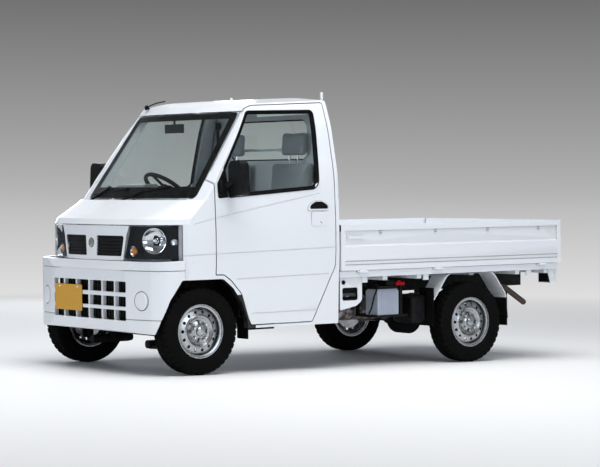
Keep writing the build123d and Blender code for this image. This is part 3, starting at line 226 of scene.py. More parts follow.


# Moulded plastic, rubber or metal with a fine grain, rubbed edges and, where a crease colour is given,
# painted shade in creases and recesses
def plastic(name, look):
    s = Shader(name)
    patch = s.noise(look["patchScale"]).ramp(*patches["tone"])
    tone = s.mix(patch, look["color"], look["second"])
    if look.get("edge"):
        rub = s.curvature().ramp(*curve["edge"]) * s.noise(patches["rubScale"]).ramp(*patches["rub"])
        tone = s.mix(rub * look["edgeShare"], tone, look["edge"])
    # Painted shade: ambient occlusion darkens creases and recesses towards the crease colour
    if look.get("crease"):
        gap = s.openness(look["creaseShadeReach"]).ramp(*occlusion["crease"])
        tone = s.mix(gap * look["creaseShadeShare"], tone, look["crease"])
    s.set(Base_Color=tone, Specular_IOR_Level=look["specular"])
    s.set(Roughness=look["roughness"] + patch * look["spread"], Metallic=look["metallic"])
    grain = s.noise(look["grainScale"], look["grainDetail"])
    return s.bump(grain, look["grain"], look["grainDepth"]).material


# Thin pane: clear, with a reflection that grows at grazing angles
def glass(name, look):
    s = Shader(name)
    s.set(Base_Color=(*look["color"], 1.0), Metallic=1.0, Roughness=look["roughness"])
    clear = s.node("ShaderNodeBsdfTransparent", Color=(*look["tint"], 1.0))
    facing = s.out(s.node("ShaderNodeLayerWeight", Blend=0.5), "Facing")
    blend = s.node("ShaderNodeMixShader")
    s.put(blend.inputs[0], (facing ** look["falloff"] * look["gloss"] + look["body"]).clamped())
    s.tree.links.new(clear.outputs[0], blend.inputs[1])
    s.tree.links.new(s.surface.outputs[0], blend.inputs[2])
    s.tree.links.new(blend.outputs[0], s.output.inputs["Surface"])
    return s.material


# Woven cloth: crossed threads over a soft colour change
def weave(name, look):
    s = Shader(name)
    x, y, z = s.axes()
    across = (x * look["threads"]).sine() * ((y + z) * look["threads"]).sine()
    patch = s.noise(look["patchScale"]).ramp(*patches["tone"])
    tone = s.mix(patch, look["color"], look["second"])
    s.set(Base_Color=s.mix(across.ramp(-1.0, 1.0) * look["threadShare"], tone, look["thread"]))
    s.set(Roughness=look["roughness"] + patch * look["spread"])
    s.set(Sheen_Weight=look["sheen"], Sheen_Roughness=look["sheenRoughness"])
    height = across * look["threadHeight"] + s.noise(look["fuzzScale"])
    return s.bump(height, look["grain"], look["grainDepth"]).material


# Tread rubber: moulded rings on the sidewall, worn patches, and no colour of its own
def rubberTyre(name, look):
    s = Shader(name)
    x, y, z = s.axes()
    reach = (y * y + z * z).math("SQRT")
    rings = (reach * look["fineRings"]).sine() * look["fineShare"]
    rings = rings + (reach * look["broadRings"]).sine() * look["broadShare"]
    patch = s.noise(look["patchScale"]).ramp(*patches["dust"])
    s.set(Base_Color=s.mix(patch, look["color"], look["second"]))
    s.set(Roughness=look["roughness"] + patch * look["patchMatt"], Specular_IOR_Level=look["specular"])
    height = rings * (reach < look["wall"]) + s.noise(look["grainScale"]) * look["grainShare"]
    return s.bump(height, look["strength"], look["depth"]).material


# The body tips nose down about the front axle, which lies at axleY, at the height of pivotZ
tip = math.radians(1.1)
axleY = -1.31945
pivotZ = 0.271

sealTone = (0.004, 0.004, 0.004)
bodyLook = {
    "color": (0.80, 0.82, 0.85), "dust": (0.55, 0.54, 0.52), "dustTop": 0.5, "dustLow": 0.2,
    "dustScale": 6.0, "dustShare": 0.14, "dustMatt": 0.5, "seamShare": 0.25, "roughness": 0.28, "coat": 0.6,
    "coatRoughness": 0.05, "peelScale": 220.0, "peelDetail": 2.0, "peel": 0.04, "peelDepth": 0.0006,
    # The gap colour, a near black, is painted shade in the panel gaps
    "gapShadeReach": 0.016, "gapShadeShare": 0.9, "gapShadeTone": (0.06, 0.062, 0.065),
}
# seal: half width, from y, to y and top of what is undersealed
sideLook = {**bodyLook, "seal": (0.722, -3.0, axleY + 0.41, 0.66), "underseal": sealTone}
noseLook = {**sideLook, "seal": (0.722, axleY - 0.255, axleY + 0.41, 0.70)}
bumperLook = {**sideLook, "seal": (0.62, axleY - 0.235, axleY, 0.72)}
bedLook = {**bodyLook, "roughness": 0.36, "coat": 0.35, "peel": 0.08}
deckLook = {
    **bedLook, "ribs": 2.0 * math.pi / 0.115, "ribRamp": (-0.5, 0.5), "ribStrength": 0.9, "ribDepth": 0.005,
}
archLook = {**bedLook, "seal": (1.0, axleY + 2.34, 2.0, 0.43), "underseal": sealTone, "dustShare": 0.2}
blackLook = {
    "color": (0.004, 0.004, 0.0045), "second": (0.006, 0.006, 0.0065), "patchScale": 9.0, "specular": 0.12,
    "roughness": 0.34, "spread": 0.1, "metallic": 0.0, "grainScale": 900.0, "grainDetail": 4.0, "grain": 0.2,
    "grainDepth": 0.0008, "edge": (0.02, 0.02, 0.02), "edgeShare": 0.6,
}
frameLook = {
    **blackLook, "color": (0.005, 0.005, 0.005), "second": (0.010, 0.0095, 0.009), "roughness": 0.6,
    "grainScale": 160.0, "grain": 0.35,
}
steelLook = {
    **blackLook, "color": (0.22, 0.215, 0.21), "second": (0.15, 0.14, 0.13), "patchScale": 12.0,
    "specular": 0.5, "roughness": 0.5, "spread": 0.06, "metallic": 0.95, "grainScale": 700.0, "grain": 0.1,
    "edge": (0.75, 0.76, 0.78),
}
# The wheels' crease colour, near black, is painted shade in their recesses
wheelLook = {
    **steelLook, "color": (0.40, 0.41, 0.42), "second": (0.46, 0.47, 0.48), "roughness": 0.24,
    "crease": (0.012, 0.012, 0.013), "creaseShadeReach": 0.03, "creaseShadeShare": 0.92,
}
rustLook = {**steelLook, "color": (0.05, 0.035, 0.028), "second": (0.09, 0.055, 0.04), "metallic": 0.3}
castLook = {
    **steelLook, "color": (0.12, 0.12, 0.12), "second": (0.07, 0.065, 0.06), "grainScale": 220.0,
    "grain": 0.5,
}
chromeLook = {
    **steelLook, "color": (0.80, 0.81, 0.82), "second": (0.76, 0.77, 0.78), "metallic": 1.0,
    "roughness": 0.08, "spread": 0.03, "grain": 0.01,
}
mirrorLook = {**chromeLook, "roughness": 0.02, "spread": 0.0, "grain": 0.0, "edge": None}
trimLook = {
    **blackLook, "color": (0.17, 0.18, 0.18), "second": (0.19, 0.20, 0.20), "grainScale": 500.0, "grain": 0.4,
    "edge": (0.24, 0.25, 0.25),
}
plateLook = {
    **blackLook, "color": (0.62, 0.33, 0.05), "second": (0.60, 0.315, 0.048), "roughness": 0.35,
    "grain": 0.03, "edge": None,
}
caseLook = {**blackLook, "color": (0.50, 0.54, 0.62), "second": (0.44, 0.48, 0.56), "edge": None}
rubberLook = {
    **blackLook, "color": (0.0035, 0.0035, 0.0037), "second": (0.006, 0.0058, 0.0055), "roughness": 0.7,
    "specular": 0.04, "grain": 0.5, "grainScale": 400.0, "edge": (0.01, 0.01, 0.01),
}
treadLook = {
    **rubberLook, "fineRings": 900.0, "fineShare": 0.3, "broadRings": 260.0, "broadShare": 0.5, "wall": 0.258,
    "patchMatt": 0.12, "grainShare": 0.4, "strength": 0.35, "depth": 0.001,
}
redLook = {
    **blackLook, "color": (0.42, 0.012, 0.012), "second": (0.5, 0.02, 0.02), "roughness": 0.12,
    "spread": 0.02, "grain": 0.02, "edge": None,
}
amberLook = {**redLook, "color": (0.75, 0.22, 0.02), "second": (0.8, 0.25, 0.03)}
insideLook = {
    **blackLook, "color": (0.012, 0.012, 0.014), "second": (0.016, 0.016, 0.018), "roughness": 0.16,
    "grain": 0.02, "edge": None,
}
paneLook = {
    "color": (0.88, 0.93, 0.93), "tint": (0.945, 0.972, 0.968), "roughness": 0.02, "falloff": 5.0,
    "gloss": 0.75, "body": 0.035,
}
lensLook = {**paneLook, "tint": (0.96, 0.97, 0.98), "body": 0.03}
clothLook = {
    "color": (0.32, 0.345, 0.36), "second": (0.35, 0.375, 0.39), "thread": (0.42, 0.44, 0.455),
    "patchScale": 12.0,
    "threads": 1800.0, "threadShare": 0.35, "threadHeight": 0.5, "fuzzScale": 900.0, "grain": 0.5,
    "grainDepth": 0.0008, "roughness": 0.8, "spread": 0.15, "sheen": 0.3, "sheenRoughness": 0.5,
}

bodyPaint = paint("bodyPaint", bodyLook)
sidePaint = paint("sidePaint", sideLook)
nosePaint = paint("nosePaint", noseLook)
bumperPaint = paint("bumperPaint", bumperLook)
bedPaint = paint("bedPaint", bedLook)
archPaint = paint("archPaint", archLook)
deckPaint = paint("deckPaint", deckLook)
black = plastic("blackPlastic", blackLook)
chassisPaint = plastic("chassisPaint", frameLook)
wheelPaint = plastic("wheelPaint", wheelLook)
steel = plastic("dullSteel", steelLook)
rusty = plastic("hotSteel", rustLook)
cast = plastic("castMetal", castLook)
chrome = plastic("chrome", chromeLook)
trim = plastic("greyTrim", trimLook)
platePaint = plastic("platePaint", plateLook)
batteryCase = plastic("batteryCase", caseLook)
rubber = plastic("rubber", rubberLook)
tyreRubber = rubberTyre("tyreRubber", treadLook)
pane = glass("pane", paneLook)
lens = glass("lens", lensLook)
redLens = plastic("redLens", redLook)
amberLens = plastic("amberLens", amberLook)
cloth = weave("seatCloth", clothLook)
lampInside = plastic("lampInside", insideLook)
mirrorGlass = plastic("mirrorGlass", mirrorLook)
print("materials made")

bySlot = {
    "body_paint": bodyPaint, "glass": pane, "black_plastic": black, "tyre": rubber,
    "wheel_paint": wheelPaint, "chassis_black": chassisPaint, "lamp_housing": lampInside,
    "lens": lens, "lamp_red": redLens, "trim_grey": trim, "seat_cloth": cloth,
    "bare_steel": steel, "cast_metal": cast, "plate": platePaint, "battery_case": batteryCase,
}
byNode = {
    "rear_arches": archPaint, "tail_lamps": black, "exhaust": rusty, "grille_slats": black,
    "cab_floor": chassisPaint, "cab_side_left": sidePaint, "cab_side_right": sidePaint,
    "cab_front": nosePaint,
    "front_bumper": bumperPaint, "bed_floor": deckPaint, "bed_headboard": bedPaint,
    "side_gate_left": bedPaint, "side_gate_right": bedPaint, "tailgate": bedPaint,
}
cadCrease = math.radians(28)
slotOf = {row["node"]: row["material_slot"] for row in frame["record"]["subparts"]}
for name, obj in nodes.items():
    obj.data.materials.clear()
    obj.data.materials.append(byNode.get(name, bySlot[slotOf[name]]))
    for face in obj.data.polygons:
        face.use_smooth = True
    obj.data.set_sharp_from_angle(angle=cadCrease)


# A point of the level drawing, in mm from the front axle and the road, in the part's frame
def at(x, y, z):
    y, z = y / 1000.0, z / 1000.0 - pivotZ
    along = y * math.cos(tip) - z * math.sin(tip)
    return Vector((x / 1000.0, axleY + along, pivotZ + y * math.sin(tip) + z * math.cos(tip)))


rearward = (at(0, 1000, 0) - at(0, 0, 0)).normalized()
downward = (at(0, 0, 0) - at(0, 0, 1000)).normalized()


def piece(name, verts, faces, material, body, sharp=35.0):
    mesh = bpy.data.meshes.new(name)
    mesh.from_pydata([tuple(v) for v in verts], [], faces)
    shape = bmesh.new()
    shape.from_mesh(mesh)
    bmesh.ops.recalc_face_normals(shape, faces=shape.faces)
    shape.to_mesh(mesh)
    shape.free()
    for face in mesh.polygons:
        face.use_smooth = True
    mesh.set_sharp_from_angle(angle=math.radians(sharp))
    mesh.materials.append(material)
    obj = bpy.data.objects.new(name, mesh)
    scene.collection.objects.link(obj)
    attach(obj, body)
    return obj


def soften(obj, width, steps=2):
    mod = obj.modifiers.new("soften", "BEVEL")
    mod.width = width
    mod.segments = steps
    mod.limit_method = "ANGLE"
    return obj


# Bars and beads along paths, as one mesh
def tube(name, paths, radius, material, body, around=10, closed=False):
    verts, faces = [], []
    for path in paths:
        n = len(path)
        first = len(verts)
        normal = None
        for i, p in enumerate(path):
            ahead = path[(i + 1) % n] if closed or i < n - 1 else p
            behind = path[i - 1] if closed or i > 0 else p
            along = (ahead - behind).normalized()
            if normal is None:
                normal = along.orthogonal().normalized()
            normal = (normal - along * normal.dot(along)).normalized()
            side = along.cross(normal)
            for k in range(around):
                turn = 2.0 * math.pi * k / around
                verts.append(p + normal * (radius * math.cos(turn)) + side * (radius * math.sin(turn)))
        for i in range(n if closed else n - 1):
            a, b = first + i * around, first + ((i + 1) % n) * around
            for k in range(around):
                m = (k + 1) % around
                faces.append((a + k, a + m, b + m, b + k))
        if not closed:
            faces.append(tuple(first + k for k in reversed(range(around))))
            faces.append(tuple(first + (n - 1) * around + k for k in range(around)))
    return piece(name, verts, faces, material, body)


# Turned piece from rows of (radius, distance along the axis)
def lathe(name, rows, origin, axis, material, body, steps=32):
    axis = Vector(axis).normalized()
    one = axis.orthogonal().normalized()
    two = axis.cross(one)
    verts, faces = [], []
    n = len(rows)
    for k in range(steps):
        turn = 2.0 * math.pi * k / steps
        out = one * math.cos(turn) + two * math.sin(turn)
        verts += [Vector(origin) + out * radius + axis * along for radius, along in rows]
    for k in range(steps):
        a, b = k * n, ((k + 1) % steps) * n
        faces += [(a + i, b + i, b + i + 1, a + i + 1) for i in range(n - 1)]
    return piece(name, verts, faces, material, body)


# Boxes in the level drawing, in mm, joined in one mesh with softened edges
def boxes(name, rows, material, body, width=0.002):
    verts, faces = [], []
    for low, high in rows:
        first = len(verts)
        for x in (low[0], high[0]):
            for y in (low[1], high[1]):
                for z in (low[2], high[2]):
                    verts.append(at(x, y, z))
        for quad in ((0, 1, 3, 2), (4, 6, 7, 5), (0, 4, 5, 1), (2, 3, 7, 6), (0, 2, 6, 4), (1, 5, 7, 3)):
            faces.append(tuple(first + k for k in quad))
    return soften(piece(name, verts, faces, material, body), width)


# What a name and a body that end in _ are called on each side, with its sign; other names come once
def eachSide(name, body):
    if not name.endswith("_"):
        return [(name, body, 1.0)]
    return [(name + side, body + side if body.endswith("_") else body, sign) for side, sign in sides]


# The corners of a box on the truck's left, or of the same box on its right
def sided(sign, low, high):
    start, end = sorted((sign * low[0], sign * high[0]))
    return (start, *low[1:]), (end, *high[1:])


# Slab from an outline of points and a thickness vector
def slab(name, outline, depth, material, body, width=0.0015):
    n = len(outline)
    verts = outline + [p + Vector(depth) for p in outline]
    faces = [tuple(range(n)), tuple(reversed(range(n, 2 * n)))]
    faces += [(i, (i + 1) % n, n + (i + 1) % n, n + i) for i in range(n)]
    return soften(piece(name, verts, faces, material, body), width)


# Quads between rings of four corners, round a loop or along a strap
def sweptFaces(count, closed=True):
    faces = []
    for i in range(count if closed else count - 1):
        a, b = 4 * i, 4 * ((i + 1) % count)
        for k in range(4):
            m = (k + 1) % 4
            faces.append((a + k, b + k, b + m, a + m))
    return faces


# Outline with rounded corners: rows of (across, up, radius)
def rounded(rows, steps=6):
    points = []
    n = len(rows)
    for i, (a, b, radius) in enumerate(rows):
        p = Vector((a, b))
        back = (Vector(rows[i - 1][:2]) - p).normalized()
        ahead = (Vector(rows[(i + 1) % n][:2]) - p).normalized()
        if radius <= 0:
            points.append(p)
            continue
        half = back.angle(ahead) / 2.0
        reach = radius / math.tan(half)
        centre = p + (back + ahead).normalized() * (radius / math.sin(half))
        start, end = p + back * reach - centre, p + ahead * reach - centre
        sweep = -start.angle_signed(end)
        for k in range(steps + 1):
            turn = Matrix.Rotation(sweep * k / steps, 2)
            points.append(centre + turn @ start)
    return points


# The same outline with each of its lines cut in lengths of a step
def divided(points, step):
    out = []
    n = len(points)
    for i, p in enumerate(points):
        q = points[(i + 1) % n]
        count = max(1, int((q - p).length / step))
        out += [p.lerp(q, k / count) for k in range(count)]
    return out


def treeOf(name):
    mesh = nodes[name].data
    return BVHTree.FromPolygons([v.co for v in mesh.vertices], [tuple(f.vertices) for f in mesh.polygons])


# Nearest surface met from a start, lifted off it by a little, or None
def onto(trees, start, way, lift=0.0):
    hits = [tree.ray_cast(start, Vector(way)) for tree in trees]
    hits = [hit for hit in hits if hit[0] is not None]
    if not hits:
        return None
    return min(hits, key=lambda hit: hit[3])[0] - Vector(way) * lift


print("tools made")

# Tyres with a block tread, from rows of (radius, half width) in mm
tyreLook = {
    "wall": ((153.6, 49.0), (160.0, 51.0), (167.0, 58.0), (176.0, 66.5), (190.0, 70.2), (206.0, 72.2),
             (226.0, 72.2), (242.0, 69.6), (252.0, 66.5)),
    "shoulder": ((259.5, 64.0), (264.0, 61.0), (267.5, 57.0)), "notch": 6.0,
    "crown": (52.0, 46.5, 41.0, 36.5, 33.5, 28.0, 21.0, 14.5, 11.5, 6.0), "crownDrop": 1.6, "tread": 270.6,
    "groove": 7.5, "sipe": 3.0, "channels": ((33.0, 37.0), (11.0, 15.0)), "rib": 12.0, "inner": 30.0,
    "pitches": 40, "perPitch": 8, "gap": 2, "crease": 40.0,
}
# Valve from and to, as (outward, up), and wheel nuts on their circle, in metres
valveLook = {"from": (0.038, 0.142), "to": (0.062, 0.133), "radius": 0.0045}
nutLook = {
    "count": 4, "start": 45.0, "circle": 0.057, "steps": 12,
    "rows": ((0.0, 0.063), (0.006, 0.062), (0.0085, 0.058), (0.009, 0.050)),
}


# How deep the tread is cut at a step round the tyre and a distance from its middle
def treadCut(look, phase, band):
    per = look["perPitch"]
    local = (phase + (0 if band > 0 else per // 2) + (look["gap"] if abs(band) < look["inner"] else 0)) % per
    band = abs(band)
    if local < look["gap"] and band > look["rib"]:
        return look["groove"]
    if any(low < band < high for low, high in look["channels"]):
        return look["groove"]
    if band <= look["rib"] and local == 0:
        return look["sipe"]
    return 0.0


def tyreMesh(look):
    across = [(r, a, "wall") for r, a in look["wall"]] + [(r, a, "shoulder") for r, a in look["shoulder"]]
    for a in look["crown"]:
        across.append((look["tread"] - look["crownDrop"] * (a / look["crown"][0]) ** 2, a, "crown"))
    mirrored = [(r, -a, kind) for r, a, kind in reversed(across)]
    full = across + [(look["tread"], 0.0, "crown")] + mirrored
    verts, faces = [], []
    steps = look["pitches"] * look["perPitch"]
    for u in range(steps):
        turn = 2.0 * math.pi * u / steps
        phase = u % look["perPitch"]
        for r, a, kind in full:
            if kind == "shoulder" and phase < look["gap"]:
                r -= look["notch"]
            elif kind == "crown":
                r -= treadCut(look, phase, a)
            verts.append(Vector((a, r * math.cos(turn), r * math.sin(turn))) / 1000.0)
    n = len(full)
    for u in range(steps):
        first, second = u * n, ((u + 1) % steps) * n
        faces += [(first + i, second + i, second + i + 1, first + i + 1) for i in range(n - 1)]
    return verts, faces


for end in ("front", "rear"):
    for side, sign in sides:
        wheel = f"wheel_{end}_{side}"
        low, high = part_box(f"tyre_{end}_{side}")
        verts, faces = tyreMesh(tyreLook)
        tread = piece(f"tread_{end}_{side}", verts, faces, tyreRubber, wheel, tyreLook["crease"])
        tread.location = (Vector(low) + Vector(high)) / 2.0
        if sign < 0:
            tread.rotation_euler = (0.0, 0.0, math.pi)
        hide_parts(f"tyre_{end}_{side}")
        centre = tread.location
        ends = (valveLook["from"], valveLook["to"])
        valve = [centre + Vector((sign * out, 0.0, up)) for out, up in ends]
        tube(f"valve_{end}_{side}", [valve], valveLook["radius"], rubber, wheel)
        for k in range(nutLook["count"]):
            turn = math.radians(nutLook["start"]) + 2.0 * math.pi * k / nutLook["count"]
            spot = centre + nutLook["circle"] * Vector((0.0, math.cos(turn), math.sin(turn)))
            name = f"nut_{end}_{side}_{k}"
            lathe(name, nutLook["rows"], spot, (sign, 0.0, 0.0), chrome, wheel, nutLook["steps"])
print("tyres made")

# Seats: pads filled by a short cloth simulation, with piping and head restraints
seatLook = {
    "middle": 350.0, "half": 208.0, "restHalf": 122.0,
    "cushion": ((458, 742), (470, 846), (690, 836), (872, 834), (918, 742)),
    "back": ((890, 812), (952, 1316), (1012, 1316), (1000, 812)),
    "rest": ((962, 1358), (976, 1506), (1022, 1506), (1018, 1358)),
    "edge": 0.026, "edgeSteps": 4, "voxel": 0.007, "pressure": 4.0, "quality": 4, "mass": 0.3, "frames": 20,
    "cap": 0.022, "share": 0.6, "smooth": 0.6, "smoothSteps": 4, "fill": 0.8,
    "stem": 45.0, "stemLow": (986, 1300), "stemHigh": (990, 1375), "stemRadius": 0.006,
    "bead": 204.0, "beads": ((466, 800), (905, 800)), "beadRadius": 0.003,
}


def padMesh(name, outline, middle, half):
    shape = bmesh.new()
    ends = [[shape.verts.new(at(x, y, z)) for y, z in outline] for x in (middle - half, middle + half)]
    n = len(outline)
    shape.faces.new(ends[0])
    shape.faces.new(list(reversed(ends[1])))
    for i in range(n):
        shape.faces.new((ends[0][i], ends[1][i], ends[1][(i + 1) % n], ends[0][(i + 1) % n]))
    bmesh.ops.recalc_face_normals(shape, faces=shape.faces)
    mesh = bpy.data.meshes.new(name)
    shape.to_mesh(mesh)
    shape.free()
    return mesh


def activate(obj):
    for other in bpy.context.selected_objects:
        other.select_set(False)
    bpy.context.view_layer.objects.active = obj
    obj.select_set(True)


# Swell the pad by a share of what the cloth moves, up to a cap
def inflate(obj, look):
    start = [v.co.copy() for v in obj.data.vertices]
    puff = obj.modifiers.new("cloth", "CLOTH")
    puff.settings.use_pressure = True
    puff.settings.uniform_pressure_force = look["pressure"]
    puff.settings.effector_weights.gravity = 0.0
    puff.settings.quality = look["quality"]
    puff.settings.mass = look["mass"]
    puff.point_cache.frame_start = 1
    puff.point_cache.frame_end = look["frames"]
    for moment in range(1, look["frames"] + 1):
        scene.frame_set(moment)
    done = obj.evaluated_get(bpy.context.evaluated_depsgraph_get())
    moved = [v.co.copy() for v in done.data.vertices]
    obj.modifiers.remove(puff)
    scene.frame_set(1)
    for v, p, q in zip(obj.data.vertices, start, moved):
        move = q - p
        if move.length > look["cap"]:
            move = move.normalized() * look["cap"]
        v.co = p + move * look["share"]


def pad(name, outline, middle, half, look):
    obj = bpy.data.objects.new(name, padMesh(name, outline, middle, half))
    scene.collection.objects.link(obj)
    activate(obj)
    soften(obj, look["edge"], look["edgeSteps"])
    bpy.ops.object.modifier_apply(modifier="soften")
    mod = obj.modifiers.new("remesh", "REMESH")
    mod.mode = "VOXEL"
    mod.voxel_size = look["voxel"]
    bpy.ops.object.modifier_apply(modifier="remesh")
    inflate(obj, look)
    smooth = obj.modifiers.new("smooth", "SMOOTH")
    smooth.factor = look["smooth"]
    smooth.iterations = look["smoothSteps"]
    bpy.ops.object.modifier_apply(modifier="smooth")
    for face in obj.data.polygons:
        face.use_smooth = True
    obj.data.materials.append(cloth)
    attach(obj, "chassis")
    return obj


for side, sign in reversed(sides):
    middle = sign * seatLook["middle"]
    cushion = pad(f"cushion_{side}", seatLook["cushion"], middle, seatLook["half"], seatLook)
    if side == "right":
        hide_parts("seats")
    pad(f"backrest_{side}", seatLook["back"], middle, seatLook["half"], seatLook)
    pad(f"headrest_{side}", seatLook["rest"], middle, seatLook["restHalf"], seatLook)
    stems = []
    for x in (middle - seatLook["stem"], middle + seatLook["stem"]):
        stems.append([at(x, *seatLook["stemLow"]), at(x, *seatLook["stemHigh"])])
    tube(f"stems_{side}", stems, seatLook["stemRadius"], chrome, "chassis")
    beads = []
    for y, z in seatLook["beads"]:
        beads.append([at(middle - seatLook["bead"], y, z), at(middle + seatLook["bead"], y, z)])
    tube(f"piping_{side}", beads, seatLook["beadRadius"], trim, "chassis")
print("seats made")


# An outline grown by a margin, or shrunk by a negative one
def grown(points, margin):
    out = []
    n = len(points)
    for i, p in enumerate(points):
        along = (points[(i + 1) % n] - points[i - 1]).normalized()
        out.append(p + Vector((-along.y, along.x)) * margin)
    return out


# Raised strip between two outlines, laid where rays through their points meet the trees
def strip(name, outlines, trees, start, way, material, body, rise=(-0.001, 0.0035)):
    back = -Vector(way)
    low, high = rise
    rows = [[onto(trees, start(p), way) for p in line] for line in outlines]
    verts = []
    for p, q in zip(*rows):
        if p is not None and q is not None:
            verts += [p + back * low, p + back * high, q + back * high, q + back * low]
    return piece(name, verts, sweptFaces(len(verts) // 4), material, body)


# Side windows: seals that lie on door and pane, and the black corner that carries the mirror
windowLook = {
    "rows": (
        (124, 1086, 14), (122, 1178, 40), (425, 1632, 36), (940, 1644, 24), (902, 1142, 60), (365, 1104, 0),
    ),
    "margins": (4.0, -21.0), "step": 24.0, "outside": 900.0,
}
sailLook = {
    "rows": ((128, 1098), (128, 1180), (200, 1296), (200, 1108)), "foot": 716.0, "footZ": 1086.0,
    "lean": 0.2246, "depth": 0.004, "edge": 0.001,
}
for side, sign in sides:
    trees = [treeOf(f"door_{side}"), treeOf(f"cab_side_{side}"), treeOf(f"door_glass_{side}")]
    line = divided(rounded(windowLook["rows"]), windowLook["step"])
    outlines = [grown(line, margin) for margin in windowLook["margins"]]
    outside = sign * windowLook["outside"]
    strip(
        f"windowSeal_{side}", outlines, trees, lambda p: at(outside, p.x, p.y), (-sign, 0, 0), rubber,
        f"door_{side}",
    )
    outline = []
    for y, z in sailLook["rows"]:
        outline.append(at(sign * (sailLook["foot"] - sailLook["lean"] * (z - sailLook["footZ"])), y, z))
    slab(f"sail_{side}", outline, (sign * sailLook["depth"], 0, 0), black, f"door_{side}", sailLook["edge"])

# Windscreen: printed black border inside its edge; rear window: round seals outside and inside
castFrom = -900.0
screenLook = {
    "low": 1084.0, "high": 1628.0, "halfLow": 632.0, "halfHigh": 581.0, "radiusLow": 34.0, "radiusHigh": 44.0,
    "step": 40.0, "edge": 5.0, "rim": 6.0, "side": 58.0, "above": 42.0, "below": 74.0,
    "rise": (0.0004, 0.0016),
}
rearLook = {
    "rows": ((-434, 1328, 60), (-434, 1592, 60), (434, 1592, 60), (434, 1328, 60)), "step": 40.0, "around": 8,
    "seals": (("rearSeal", 1064.5, 0.008), ("rearSealInside", 1040.5, 0.006)),
}


def screenHalf(z):
    share = (z - screenLook["low"]) / (screenLook["high"] - screenLook["low"])
    return screenLook["halfLow"] + (screenLook["halfHigh"] - screenLook["halfLow"]) * share


# A point held inside the windscreen's outline, less margins at the side, below and above
def held(p, side, below, above):
    half = screenHalf(p.y) - side
    low, high = screenLook["low"] + below, screenLook["high"] - above
    return Vector((max(-half, min(half, p.x)), max(low, min(high, p.y))))


line = divided(rounded((
    (-screenLook["halfLow"], screenLook["low"], screenLook["radiusLow"]),
    (-screenLook["halfHigh"], screenLook["high"], screenLook["radiusHigh"]),
    (screenLook["halfHigh"], screenLook["high"], screenLook["radiusHigh"]),
    (screenLook["halfLow"], screenLook["low"], screenLook["radiusLow"]),
)), screenLook["step"])
outlines = [
    [held(p, screenLook["edge"], screenLook["rim"], screenLook["rim"]) for p in line],
    [held(p, screenLook["side"], screenLook["below"], screenLook["above"]) for p in line],
]
strip(
    "screenBorder", outlines, [treeOf("windscreen")], lambda p: at(p.x, castFrom, p.y), rearward, black,
    "chassis", screenLook["rise"],
)
line = divided(rounded(rearLook["rows"]), rearLook["step"])
for name, y, radius in rearLook["seals"]:
    tube(name, [[at(p.x, y, p.y) for p in line]], radius, rubber, "chassis", rearLook["around"], True)
print("seals made")

# Headlamps: a dark shell behind each lens
shellLook = {
    "along": (0.0, 0.08, 0.2, 0.33, 0.47, 0.6, 0.71, 0.8, 0.88, 0.94, 0.975, 1.0), "low": 719.0,
    "high": 917.0,
    "inner": 352.0, "innerZ": 722.0, "lean": 0.29, "outer": 704.0, "front": 0.0045, "deep": 0.046,
}
# Bowls and bulbs: name, x, z, material, steps, rows of (radius, distance forward of the lens)
bowls = (
    ("lampBowl", 590, 830, chrome, 48, ((0.014, -0.050), (0.034, -0.047), (0.052, -0.039), (0.066, -0.027),
                                        (0.076, -0.013), (0.080, -0.012), (0.081, -0.018))),
    ("lampBulb", 590, 830, chrome, 24, ((0.0, -0.018), (0.008, -0.019), (0.012, -0.024), (0.012, -0.044),
                                        (0.018, -0.048))),
    ("turnBowl", 430, 766, chrome, 28, ((0.004, -0.034), (0.018, -0.028), (0.028, -0.016), (0.032, -0.008),
                                        (0.033, -0.012))),
    ("turnBulb", 430, 766, amberLens, 24, ((0.0, -0.006), (0.012, -0.008), (0.019, -0.014), (0.020, -0.026),
                                           (0.006, -0.032))),
    ("markerBowl", 684, 822, chrome, 24, (
        (0.002, -0.026), (0.012, -0.022), (0.020, -0.012), (0.021, -0.016),
    )),
)
lensTree = treeOf("headlamp_lenses")


# Where the lens lies in front of a point, and the way out of it
def lensPoint(x, z):
    spot, way = lensTree.ray_cast(at(x, castFrom, z), rearward)[:2]
    return spot, way if way.y < 0 else -way


verts, faces = [], []
columns = len(shellLook["along"])
for side, sign in sides:
    first = len(verts)
    for level, deep in (("low", "front"), ("low", "deep"), ("high", "deep"), ("high", "front")):
        z = shellLook[level]
        inner = shellLook["inner"] + shellLook["lean"] * (z - shellLook["innerZ"])
        for share in shellLook["along"]:
            spot, way = lensPoint(sign * (inner + share * (shellLook["outer"] - inner)), z)
            verts.append(spot - way * shellLook[deep])
    rows = [first + columns * k for k in range(4)]
    for low, high in zip(rows, rows[1:]):
        faces += [(low + k, low + k + 1, high + k + 1, high + k) for k in range(columns - 1)]
    faces.append(tuple(rows))
lampShell = piece("lampShell", verts, faces, lampInside, "chassis")
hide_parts("headlamps")
for side, sign in sides:
    for name, x, z, material, steps, rows in bowls:
        spot, way = lensPoint(sign * x, z)
        lathe(f"{name}_{side}", rows, spot, way, material, "chassis", steps)
print("lamps made")

# Door handles: a black opening over a white dish, in a frame that fills the pressed pocket; the black opening
# is painted shade for the pocket's depth
handleLook = {
    "pocket": (
        (812, 1002, 9), (987, 1002, 9), (987, 1034, 29), (930, 1062, 50), (868, 1062, 50), (812, 1034, 29),
    ),
    "opening": (
        (827, 1012, 5), (973, 1012, 5), (973, 1034, 22), (928, 1058, 38), (870, 1058, 38), (827, 1034, 22),
    ),
    "dish": ((838, 902, 12), (964, 902, 12), (964, 994, 12), (838, 994, 12)), "corner": 8, "count": 48,
    "floor": 727.5, "skin": 736.4, "cup": 727.6, "cupCount": 40, "cupDepth": 0.0012, "cupEdge": 0.0002,
    "dishFace": 736.0, "dishDepth": 0.0022, "dishEdge": 0.0012,
}


